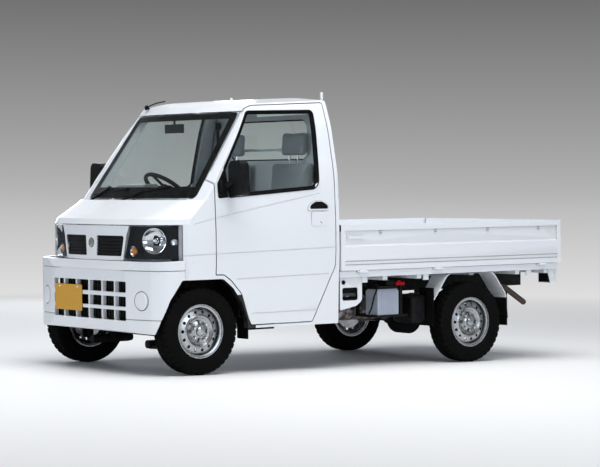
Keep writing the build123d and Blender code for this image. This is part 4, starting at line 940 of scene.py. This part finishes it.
# A number of points spaced evenly round a rounded outline
def evenly(rows, count):
    line = rounded(rows, handleLook["corner"])
    spans = [(line[(i + 1) % len(line)] - p).length for i, p in enumerate(line)]
    out = []
    for k in range(count):
        reach = sum(spans) * k / count
        i = 0
        while reach > spans[i]:
            reach -= spans[i]
            i += 1
        out.append(line[i].lerp(line[(i + 1) % len(line)], reach / spans[i]))
    return out


for side, sign in sides:
    rider = f"door_{side}"
    floorX, skinX = sign * handleLook["floor"], sign * handleLook["skin"]
    verts = []
    for p, q in zip(*[evenly(handleLook[key], handleLook["count"]) for key in ("pocket", "opening")]):
        verts += [at(floorX, p.x, p.y), at(skinX, p.x, p.y), at(skinX, q.x, q.y), at(floorX, q.x, q.y)]
    piece(f"handleFrame_{side}", verts, sweptFaces(handleLook["count"]), bodyPaint, rider)
    # Painted shade: a black plate stands for the shade deep in the handle pocket
    line = evenly(handleLook["opening"], handleLook["cupCount"])
    outline = [at(sign * handleLook["cup"], p.x, p.y) for p in line]
    depth = (sign * handleLook["cupDepth"], 0, 0)
    slab(f"handleShadeCup_{side}", outline, depth, black, rider, handleLook["cupEdge"])
    outline = [at(sign * handleLook["dishFace"], p.x, p.y) for p in rounded(handleLook["dish"])]
    depth = (sign * handleLook["dishDepth"], 0, 0)
    slab(f"handleDish_{side}", outline, depth, bodyPaint, rider, handleLook["dishEdge"])

# Mirrors: rounded heads and their glass
headLook = {
    "rows": ((766, 1110, 22), (762, 1304, 32), (868, 1308, 32), (883, 1118, 24)), "back": 248.4,
    "depth": 0.0018, "edge": 0.0006, "round": 0.016, "roundSteps": 4,
}
for side, sign in sides:
    outline = [at(sign * p.x, headLook["back"], p.y) for p in rounded(headLook["rows"])]
    depth = (0, headLook["depth"], 0)
    slab(f"mirrorGlass_{side}", outline, depth, mirrorGlass, f"door_{side}", headLook["edge"])
    soften(nodes[f"door_mirror_{side}"], headLook["round"], headLook["roundSteps"])

# Washer nozzle under the windscreen
nozzleLook = {
    "place": (0, -30, 1400), "axis": (0, -0.3, 1.0), "steps": 16,
    "rows": ((0.0, 0.007), (0.006, 0.006), (0.010, 0.002), (0.010, -0.002)),
}
spot = onto([treeOf("cab_front")], at(*nozzleLook["place"]), downward)
lathe("nozzle_1", nozzleLook["rows"], spot, nozzleLook["axis"], black, "chassis", nozzleLook["steps"])

# Front: a dark mesh behind the lower openings, round blanks, and a plain boss on the upper grille
noseShape = {
    "back": -326.0, "slope": 3.0, "front": -332.0, "half": 432.0, "low": 336.0, "high": 582.0, "slats": 26,
    "slatHalf": 3.0, "slatEdge": 0.0008, "blank": (568.0, 465.0), "blankAxis": (0.12, -0.99, 0.0),
    "steps": 48,
    "blankRows": ((0.0, 0.0045), (0.036, 0.0042), (0.050, 0.0032), (0.0555, 0.0008), (0.056, -0.003)),
    "boss": (0.0, 815.0), "bossAxis": (0, -1, 0.05), "bossSteps": 40,
    "bossRows": ((0.0, 0.006), (0.020, 0.0055), (0.029, 0.004), (0.032, 0.0), (0.032, -0.004)),
}
half, low, high = noseShape["half"], noseShape["low"], noseShape["high"]
rows = [((-half, noseShape["back"], low), (half, noseShape["back"] + noseShape["slope"], high))]
for k in range(noseShape["slats"]):
    x = -half + (k + 0.5) * 2 * half / noseShape["slats"]
    left, right = x - noseShape["slatHalf"], x + noseShape["slatHalf"]
    rows.append(((left, noseShape["front"], low), (right, noseShape["back"], high)))
boxes("grilleMesh", rows, black, "chassis", noseShape["slatEdge"])
for side, sign in sides:
    x, z = noseShape["blank"]
    spot = onto([treeOf("front_bumper")], at(sign * x, castFrom, z), rearward)
    across, forward, up = noseShape["blankAxis"]
    axis = (sign * across, forward, up)
    lathe(f"fogBlank_{side}", noseShape["blankRows"], spot, axis, bumperPaint, "chassis", noseShape["steps"])
x, z = noseShape["boss"]
spot = onto([treeOf("upper_grille"), treeOf("cab_front")], at(x, castFrom, z), rearward)
rows, axis = noseShape["bossRows"], noseShape["bossAxis"]
lathe("plainBoss", rows, spot, axis, steel, "chassis", noseShape["bossSteps"])

# Ribs on the battery's face
ribLook = {
    "count": 10, "first": 1492.0, "span": 150.0, "half": 2.5, "x": (604, 609), "z": (312, 462), "edge": 0.001,
}
ribs = []
for k in range(ribLook["count"]):
    y = ribLook["first"] + k * ribLook["span"] / (ribLook["count"] - 1)
    (x0, x1), (z0, z1) = ribLook["x"], ribLook["z"]
    ribs.append(((x0, y - ribLook["half"], z0), (x1, y + ribLook["half"], z1)))
boxes("batteryRibs", ribs, batteryCase, "chassis", ribLook["edge"])

# Boxes in mm: name, body, material, edge in metres, and rows of (low corner, high corner)
blocks = (
    ("batteryLid", "chassis", black, 0.003, (((482, 1479, 470), (603, 1653, 492)),)),
    ("batteryStrap", "chassis", black, 0.002, (((596, 1661, 296), (612, 1684, 486)),
                                               ((500, 1661, 486), (612, 1684, 491)))),
    ("terminalCover", "chassis", redLens, 0.004, (((560, 1640, 490), (600, 1716, 512)),
                                                  ((570, 1662, 510), (592, 1690, 522)))),
    ("relayBox", "chassis", black, 0.004, (((500, 1560, 496), (596, 1632, 524)),)),
    ("gateStop_", "chassis", rubber, 0.004, (((704, 1064, 862), (728, 1079, 902)),)),
    ("tail_red_", "chassis", redLens, 0.003, (((541, 3006, 471), (590, 3015, 545)),)),
    ("tail_amber_", "chassis", amberLens, 0.003, (((592, 3006, 471), (638, 3015, 545)),)),
    ("tail_clear_", "chassis", lens, 0.003, (((640, 3006, 471), (689, 3015, 545)),)),
    ("tailHousing_", "chassis", bedPaint, 0.001, (((690, 2984, 464), (694, 3011, 560)),
                                                  ((536, 2984, 464), (540, 3011, 552)),
                                                  ((536, 2984, 464), (694, 3011, 468)),
                                                  ((536, 2984, 548), (694, 3011, 552)))),
    ("frontFlap_", "chassis", rubber, 0.003, (((590, 352, 205), (706, 360, 560)),
                                              ((590, 360, 262), (706, 560, 296)))),
    # The flap ahead of each rear wheel also stands for the shade under the bed there
    ("rearFlap_", "chassis", rubber, 0.002, (((560, 1872, 215), (708, 1878, 470)),
                                             ((560, 2528, 190), (708, 2534, 420)))),
    # A black box, as a canister, that also stands for the shade between battery and rear wheel
    ("sideCover", "chassis", black, 0.02, (((430, 1745, 235), (640, 1868, 420)),)),
    # A black splash cover under the nose, which also stands for the shade beneath the bumper
    ("noseCover", "chassis", black, 0.002, (((-420, -322, 268), (420, -286, 276)),
                                            ((-420, -322, 276), (420, -316, 330)))),
    ("springPlate_", "chassis", steel, 0.001, (((380, 2144, 184), (464, 2256, 192)),)),
    ("seatBase_", "chassis", trim, 0.004, (((138, 470, 731), (562, 920, 748)),)),
    ("beltGuide_", "chassis", black, 0.004, (((546, 1004, 1548), (578, 1030, 1592)),)),
    ("armrest_", "door_", black, 0.008, (((540, 500, 905), (570, 720, 935)),)),
)
for label, rider, material, edge, rows in blocks:
    for name, body, sign in eachSide(label, rider):
        boxes(name, [sided(sign, *row) for row in rows], material, body, edge)

# Bars: name, body, material, radius in metres, faces around, and paths in mm
bars = (
    ("batteryCables", "chassis", black, 0.0055, 8, (
        ((585, 1700, 500), (560, 1740, 470), (500, 1760, 440), (380, 1760, 470)),
        ((500, 1500, 488), (470, 1450, 500), (420, 1420, 470), (370, 1400, 480)),
        ((606, 1470, 470), (612, 1440, 420), (600, 1430, 350), (560, 1440, 310)),
    )),
    ("antenna", "chassis", black, 0.0045, 10, (
        ((-500, 392, 1676), (-500, 420, 1700), (-498, 470, 1718), (-496, 540, 1732)),
    )),
    ("springBolts_", "chassis", steel, 0.0055, 8, (
        ((386, 2158, 188), (386, 2158, 324), (458, 2158, 324), (458, 2158, 188)),
        ((386, 2242, 188), (386, 2242, 324), (458, 2242, 324), (458, 2242, 188)),
    )),
    ("levers", "chassis", black, 0.007, 10, (((-30, 470, 745), (-30, 500, 900), (-28, 508, 962)),)),
    ("handbrake", "chassis", black, 0.011, 12, (((20, 700, 760), (20, 620, 812), (20, 540, 860)),)),
    ("winderArm_", "door_", black, 0.006, 10, (((559, 400, 830), (556, 440, 770), (540, 442, 766)),)),
)
for label, rider, material, radius, around, paths in bars:
    for name, body, sign in eachSide(label, rider):
        lines = [[at(sign * x, y, z) for x, y, z in path] for path in paths]
        tube(name, lines, radius, material, body, around)

# Turned pieces: name, body, material, steps, place in mm, axis, and rows of (radius, distance along it)
turned = (
    ("lock_", "door_", chrome, 24, (738, 917, 930), (1, 0, 0), (
        (0.0, 0.0035), (0.0035, 0.0035), (0.0036, 0.0015), (0.0085, 0.0035), (0.0105, 0.002), (0.0108, 0.0),
    )),
    ("antennaFoot", "chassis", black, 20, (-500, 400, 1680), (0, -0.4, 0.9), (
        (0.0, 0.024), (0.011, 0.022), (0.014, 0.012), (0.016, -0.004),
    )),
    ("leverKnob", "chassis", black, 24, (-28, 508, 962), (0, 0, 1), (
        (0.0, 0.034), (0.014, 0.030), (0.021, 0.014), (0.016, -0.006), (0.008, -0.012),
    )),
    ("winder_", "door_", black, 20, (569, 400, 830), (-1, 0, 0), (
        (0.0, 0.014), (0.014, 0.012), (0.018, 0.004), (0.018, -0.002),
    )),
)
for label, rider, material, steps, (x, y, z), (across, forward, up), rows in turned:
    for name, body, sign in eachSide(label, rider):
        lathe(name, rows, at(sign * x, y, z), (sign * across, forward, up), material, body, steps)

# Plugs in the panels' holes, as (x, y, z, radius); the first is only on the left
plugs = ((702, 1119, 532, 14), (694, 2988, 538, 11), (694, 2990, 488, 8))
plugLook = {"steps": 24, "rows": ((0.0, 0.004), (0.7, 0.0036), (1.0, 0.001), (1.0, -0.006))}
for side, sign in sides:
    for k, (x, y, z, radius) in enumerate(plugs):
        if k == 0 and sign < 0:
            continue
        rows = [(share * radius / 1000.0, along) for share, along in plugLook["rows"]]
        spot = at(sign * x, y, z)
        lathe(f"plug_{side}_{k}", rows, spot, (sign, 0, 0), rubber, "chassis", plugLook["steps"])

# Bolts of the front plate, at (x, z)
boltLook = {
    "places": ((-352, 528), (-134, 528)), "steps": 16,
    "rows": ((0.0, 0.004), (0.006, 0.0036), (0.0075, 0.001), (0.0075, -0.001)),
}
plateTree = treeOf("number_plates")
for k, (x, z) in enumerate(boltLook["places"]):
    spot = onto([plateTree], at(x, castFrom, z), rearward)
    lathe(f"plateBolt_{k}", boltLook["rows"], spot, -rearward, chrome, "chassis", boltLook["steps"])
print("outer details made")

# Dashboard: vents with slats, dials under a hood, radio, heater knobs and glove box lid
dashTree = [treeOf("dashboard")]
castBack = 900.0
ventLook = {
    "places": ((-500, 1088), (-70, 1088), (70, 1088), (500, 1088)), "half": (52, 26), "lift": -0.002,
    "depth": 0.008, "edge": 0.002, "slats": (-15, -5, 5, 15), "slatEnd": 6, "slatLift": 0.0075,
    "slat": 0.0022,
}
dialLook = {
    "place": (-340, 1120), "lift": -0.004, "depth": 0.016, "edge": 0.004,
    "hood": ((-0.13, -0.05), (0.13, -0.05), (0.13, 0.02), (0.09, 0.045), (-0.09, 0.045), (-0.13, 0.02)),
    "dials": ((-0.065, chrome), (0.0, trim), (0.065, chrome)), "dialAt": (0.013, -0.006), "steps": 28,
    "rows": ((0.0, 0.002), (0.026, 0.002), (0.028, 0.004), (0.030, 0.004), (0.030, 0.0)),
}
radioLook = {"place": (0, 1010), "half": (0.09, 0.027), "lift": -0.004, "depth": 0.010, "edge": 0.002}
knobLook = {
    "places": ((-60, 945), (0, 945), (60, 945)), "steps": 20,
    "rows": ((0.0, 0.018), (0.013, 0.017), (0.016, 0.004), (0.018, -0.002)),
}
gloveLook = {"x": (190, 520), "z": (900, 1010), "lift": 0.001, "depth": 0.005, "edge": 0.002}
corners = ((-1, -1), (1, -1), (1, 1), (-1, 1))


# The dashboard's face behind a point, as seen from the seats
def dashPoint(x, z, lift=0.0):
    return onto(dashTree, at(x, castBack, z), -rearward, lift)


for k, (x, z) in enumerate(ventLook["places"]):
    wide, tall = ventLook["half"]
    spot = dashPoint(x, z)
    outline = [spot + Vector((i * wide / 1000, ventLook["lift"], j * tall / 1000)) for i, j in corners]
    slab(f"vent_{k}", outline, (0, ventLook["depth"], 0), black, "chassis", ventLook["edge"])
    reach = wide - ventLook["slatEnd"]
    rows = []
    for up in ventLook["slats"]:
        rows.append([spot + Vector((i * reach / 1000, ventLook["slatLift"], up / 1000)) for i in (-1, 1)])
    tube(f"ventSlats_{k}", rows, ventLook["slat"], trim, "chassis", 8)
spot = dashPoint(*dialLook["place"])
outline = [spot + Vector((across, dialLook["lift"], up)) for across, up in dialLook["hood"]]
slab("dialHood", outline, (0, dialLook["depth"], 0), black, "chassis", dialLook["edge"])
for k, (across, material) in enumerate(dialLook["dials"]):
    middle = spot + Vector((across, *dialLook["dialAt"]))
    lathe(f"dial_{k}", dialLook["rows"], middle, rearward, material, "chassis", dialLook["steps"])
spot = dashPoint(*radioLook["place"])
wide, tall = radioLook["half"]
outline = [spot + Vector((i * wide, radioLook["lift"], j * tall)) for i, j in corners]
slab("radio", outline, (0, radioLook["depth"], 0), black, "chassis", radioLook["edge"])
for k, place in enumerate(knobLook["places"]):
    spot = dashPoint(*place)
    lathe(f"heaterKnob_{k}", knobLook["rows"], spot, rearward, black, "chassis", knobLook["steps"])
(x0, x1), (z0, z1) = gloveLook["x"], gloveLook["z"]
lid = [dashPoint(x, z, gloveLook["lift"]) for x, z in ((x0, z0), (x1, z0), (x1, z1), (x0, z1))]
slab("gloveLid", lid, (0, gloveLook["depth"], 0), trim, "chassis", gloveLook["edge"])

# Pedals and visors
pedalLook = {
    "places": (-440, -345, -265), "edge": 0.003,
    "pad": ((-26, 60, 470), (26, 68, 530)), "arm": ((-5, 40, 520), (5, 60, 640)),
}
visorLook = {"x": (130, 500), "front": (405, 1596), "back": (545, 1628), "depth": 0.012, "edge": 0.005}
for k, x in enumerate(pedalLook["places"]):
    rows = []
    for key in ("pad", "arm"):
        low, high = pedalLook[key]
        rows.append(((x + low[0], *low[1:]), (x + high[0], *high[1:])))
    boxes(f"pedal_{k}", rows, black, "chassis", pedalLook["edge"])
for side, sign in sides:
    x0, x1 = sorted(sign * x for x in visorLook["x"])
    front, back = visorLook["front"], visorLook["back"]
    outline = [at(x0, *front), at(x1, *front), at(x1, *back), at(x0, *back)]
    slab(f"visor_{side}", outline, (0, 0, visorLook["depth"]), trim, "chassis", visorLook["edge"])

# Head lining under the roof, and belts
liningLook = {
    "left": -520, "front": 440, "across": 130, "along": 82, "columns": 9, "rows": 8, "castZ": 1400,
    "lift": 0.006, "missZ": 1660, "thick": 0.003,
}
beltLook = {
    "path": ((556, 1022, 1560), (553, 1020, 1200), (556, 1015, 820)), "front": 23, "back": 2, "thick": 2,
}
roofTree = [treeOf("cab_roof")]
verts, faces = [], []
columns = liningLook["columns"]
for j in range(liningLook["rows"]):
    for i in range(columns):
        x, y = liningLook["left"] + liningLook["across"] * i, liningLook["front"] + liningLook["along"] * j
        spot = onto(roofTree, at(x, y, liningLook["castZ"]), -downward, liningLook["lift"])
        verts.append(spot or at(x, y, liningLook["missZ"]))
for j in range(liningLook["rows"] - 1):
    for a in range(j * columns, (j + 1) * columns - 1):
        faces.append((a, a + 1, a + columns + 1, a + columns))
lining = piece("headLining", verts, faces, trim, "chassis")
lining.modifiers.new("thick", "SOLIDIFY").thickness = liningLook["thick"]
for side, sign in sides:
    verts = []
    for x, y, z in beltLook["path"]:
        front, back = y - beltLook["front"], y + beltLook["back"]
        x0, x1 = sign * x, sign * (x - beltLook["thick"])
        verts += [at(x0, front, z), at(x0, back, z), at(x1, back, z), at(x1, front, z)]
    piece(f"belt_{side}", verts, sweptFaces(len(beltLook["path"]), False), black, "chassis")

# Door linings
doorLook = {
    "rows": ((240, 560, 60), (225, 1030, 30), (905, 1045, 30), (905, 560, 90)), "face": 574.0, "depth": 0.005,
    "edge": 0.002,
}
for side, sign in sides:
    outline = [at(sign * doorLook["face"], p.x, p.y) for p in rounded(doorLook["rows"])]
    depth = (-sign * doorLook["depth"], 0, 0)
    slab(f"doorLining_{side}", outline, depth, trim, f"door_{side}", doorLook["edge"])
print("cab dressed")

# Coil springs round the front struts
springLook = {
    "low": 578.0, "high": 668.0, "turns": 3.5, "radius": 43.0, "wire": 0.0055, "steps": 84, "around": 8,
    "ball": (600.0, 178.0), "tower": (505.0, 690.0),
}
for side, sign in sides:
    (ballX, ballZ), (towerX, towerZ) = springLook["ball"], springLook["tower"]
    radius = springLook["radius"]
    coil = []
    for k in range(springLook["steps"] + 1):
        share = k / springLook["steps"]
        turn = 2.0 * math.pi * springLook["turns"] * share
        z = springLook["low"] + (springLook["high"] - springLook["low"]) * share
        x = ballX + (towerX - ballX) * (z - ballZ) / (towerZ - ballZ)
        coil.append(at(sign * x + radius * math.cos(turn), radius * math.sin(turn), z))
    tube(f"frontSpring_{side}", [coil], springLook["wire"], black, "chassis", springLook["around"])
print("springs made")

# Camera, solved from the photograph
view = {
    "place": (11.6763, -8.76135, 1.058), "yaw": 0.9249, "pitch": 0.0121, "roll": 0.0074,
    "lens": 129.303, "sensor": 36.0, "shiftX": -0.0149, "shiftY": -0.0054, "farthest": 3000.0,
}
camera = bpy.data.cameras.new("camera")
camera.lens = view["lens"]
camera.sensor_width = view["sensor"]
camera.shift_x = view["shiftX"]
camera.shift_y = view["shiftY"]
camera.clip_end = view["farthest"]
back = Vector((
    math.sin(view["yaw"]) * math.cos(view["pitch"]),
    -math.cos(view["yaw"]) * math.cos(view["pitch"]),
    math.sin(view["pitch"]),
))
level = Vector((0.0, 0.0, 1.0)).cross(back).normalized()
upright = back.cross(level)
right = math.cos(view["roll"]) * level + math.sin(view["roll"]) * upright
up = back.cross(right)
eye = bpy.data.objects.new("camera", camera)
turn = Matrix((right, up, back)).transposed().to_4x4()
eye.matrix_world = Matrix.Translation(view["place"]) @ turn
scene.collection.objects.link(eye)
scene.camera = eye

# Floor: lit near the truck, and farther off, for camera rays, a painted light falloff that is brighter
# towards the truck and fades to the backdrop's tone
scene.view_settings.view_transform = "Standard"
floorLook = {
    "color": (0.80, 0.795, 0.79), "half": 900.0, "clearFrom": 3.5, "clearTo": 11.0,
    "horizon": (0.50, 0.50, 0.50), "white": (1.0, 1.0, 1.0), "share": 11.86, "reach": 14.6, "roughness": 0.7,
    "specular": 0.1,
}
floorMesh = bpy.data.meshes.new("floor")
half = floorLook["half"]
corners = [(-half, -half, 0), (half, -half, 0), (half, half, 0), (-half, half, 0)]
floorMesh.from_pydata(corners, [], [(0, 1, 2, 3)])
floor = bpy.data.objects.new("floor", floorMesh)
scene.collection.objects.link(floor)
s = Shader("floor")
x, y, z = s.axes()
away = (x * x + y * y) ** 0.5
s.set(Base_Color=(*floorLook["color"], 1.0), Roughness=floorLook["roughness"])
s.set(Specular_IOR_Level=floorLook["specular"])
# Painted light: the camera sees the far floor brighter towards the truck, as the lamps' falloff would make it
paintedFalloff = floorLook["share"] / (away + floorLook["reach"])
backdrop = s.node("ShaderNodeEmission", Color=s.mix(paintedFalloff, floorLook["horizon"], floorLook["white"]))
cameraOnly = s.out(s.node("ShaderNodeLightPath"), "Is Camera Ray")
fade = s.node("ShaderNodeMixShader")
s.put(fade.inputs[0], away.ramp(floorLook["clearFrom"], floorLook["clearTo"]) * cameraOnly)
s.tree.links.new(s.surface.outputs[0], fade.inputs[1])
s.tree.links.new(backdrop.outputs[0], fade.inputs[2])
s.tree.links.new(fade.outputs[0], s.output.inputs["Surface"])
floorMesh.materials.append(s.material)

# World: the backdrop for camera rays, a soft gradient for reflections and a dim fill for the rest
worldLook = {
    "horizon": (0.50, 0.50, 0.50), "top": (0.165, 0.165, 0.168), "rise": 0.094, "curve": 0.72,
    "fill": (0.22, 0.24, 0.27), "glossLow": (0.42, 0.44, 0.47), "glossTop": (0.06, 0.06, 0.065),
    "glossRise": 0.8, "strength": 1.0,
}
world = bpy.data.worlds.new("studio")
scene.world = world
world.use_nodes = True
tree = world.node_tree
coord = tree.nodes.new("ShaderNodeTexCoord")
split = tree.nodes.new("ShaderNodeSeparateXYZ")
tree.links.new(coord.outputs["Generated"], split.inputs[0])
upward = Socket(tree, split.outputs[2])
rise = upward.ramp(0.0, worldLook["rise"]) ** worldLook["curve"]
path = tree.nodes.new("ShaderNodeLightPath")

seen = blendTone(tree, rise, worldLook["horizon"], worldLook["top"])
cameraRay = Socket(tree, path.outputs["Is Camera Ray"])
glossRise = upward.ramp(0.0, worldLook["glossRise"])
gloss = blendTone(tree, glossRise, worldLook["glossLow"], worldLook["glossTop"])
lit = blendTone(tree, Socket(tree, path.outputs["Is Glossy Ray"]), worldLook["fill"], gloss)
tone = blendTone(tree, cameraRay, lit, seen)
tree.links.new(tone.out, tree.nodes["Background"].inputs["Color"])
tree.nodes["Background"].inputs["Strength"].default_value = worldLook["strength"]

# Area lights: name, place, aim, width, height, power and colour
lightRows = (
    ("overhead", (1.7, -0.8, 6.8), (0.2, 0.2, 0.4), 5.5, 7.5, 600.0, (1.0, 1.0, 1.0)),
    ("frontSide", (9.0, 0.2, 2.1), (0.0, 0.4, 1.1), 5.0, 2.2, 140.0, (0.80, 0.90, 1.0)),
    ("noseSide", (-1.0, -9.5, 2.2), (0.0, -1.0, 1.1), 4.0, 2.2, 140.0, (0.84, 0.92, 1.0)),
    ("farSide", (-9.0, 3.0, 2.6), (0.0, 0.0, 0.9), 5.0, 2.6, 180.0, (0.87, 0.93, 1.0)),
)
for name, place, aim, width, height, power, color in lightRows:
    lamp = bpy.data.lights.new(name, "AREA")
    lamp.shape = "RECTANGLE"
    lamp.size = width
    lamp.size_y = height
    lamp.energy = power
    lamp.color = color
    holder = bpy.data.objects.new(name, lamp)
    holder.location = place
    holder.rotation_euler = (Vector(place) - Vector(aim)).to_track_quat("Z", "Y").to_euler()
    scene.collection.objects.link(holder)
print("stage set")
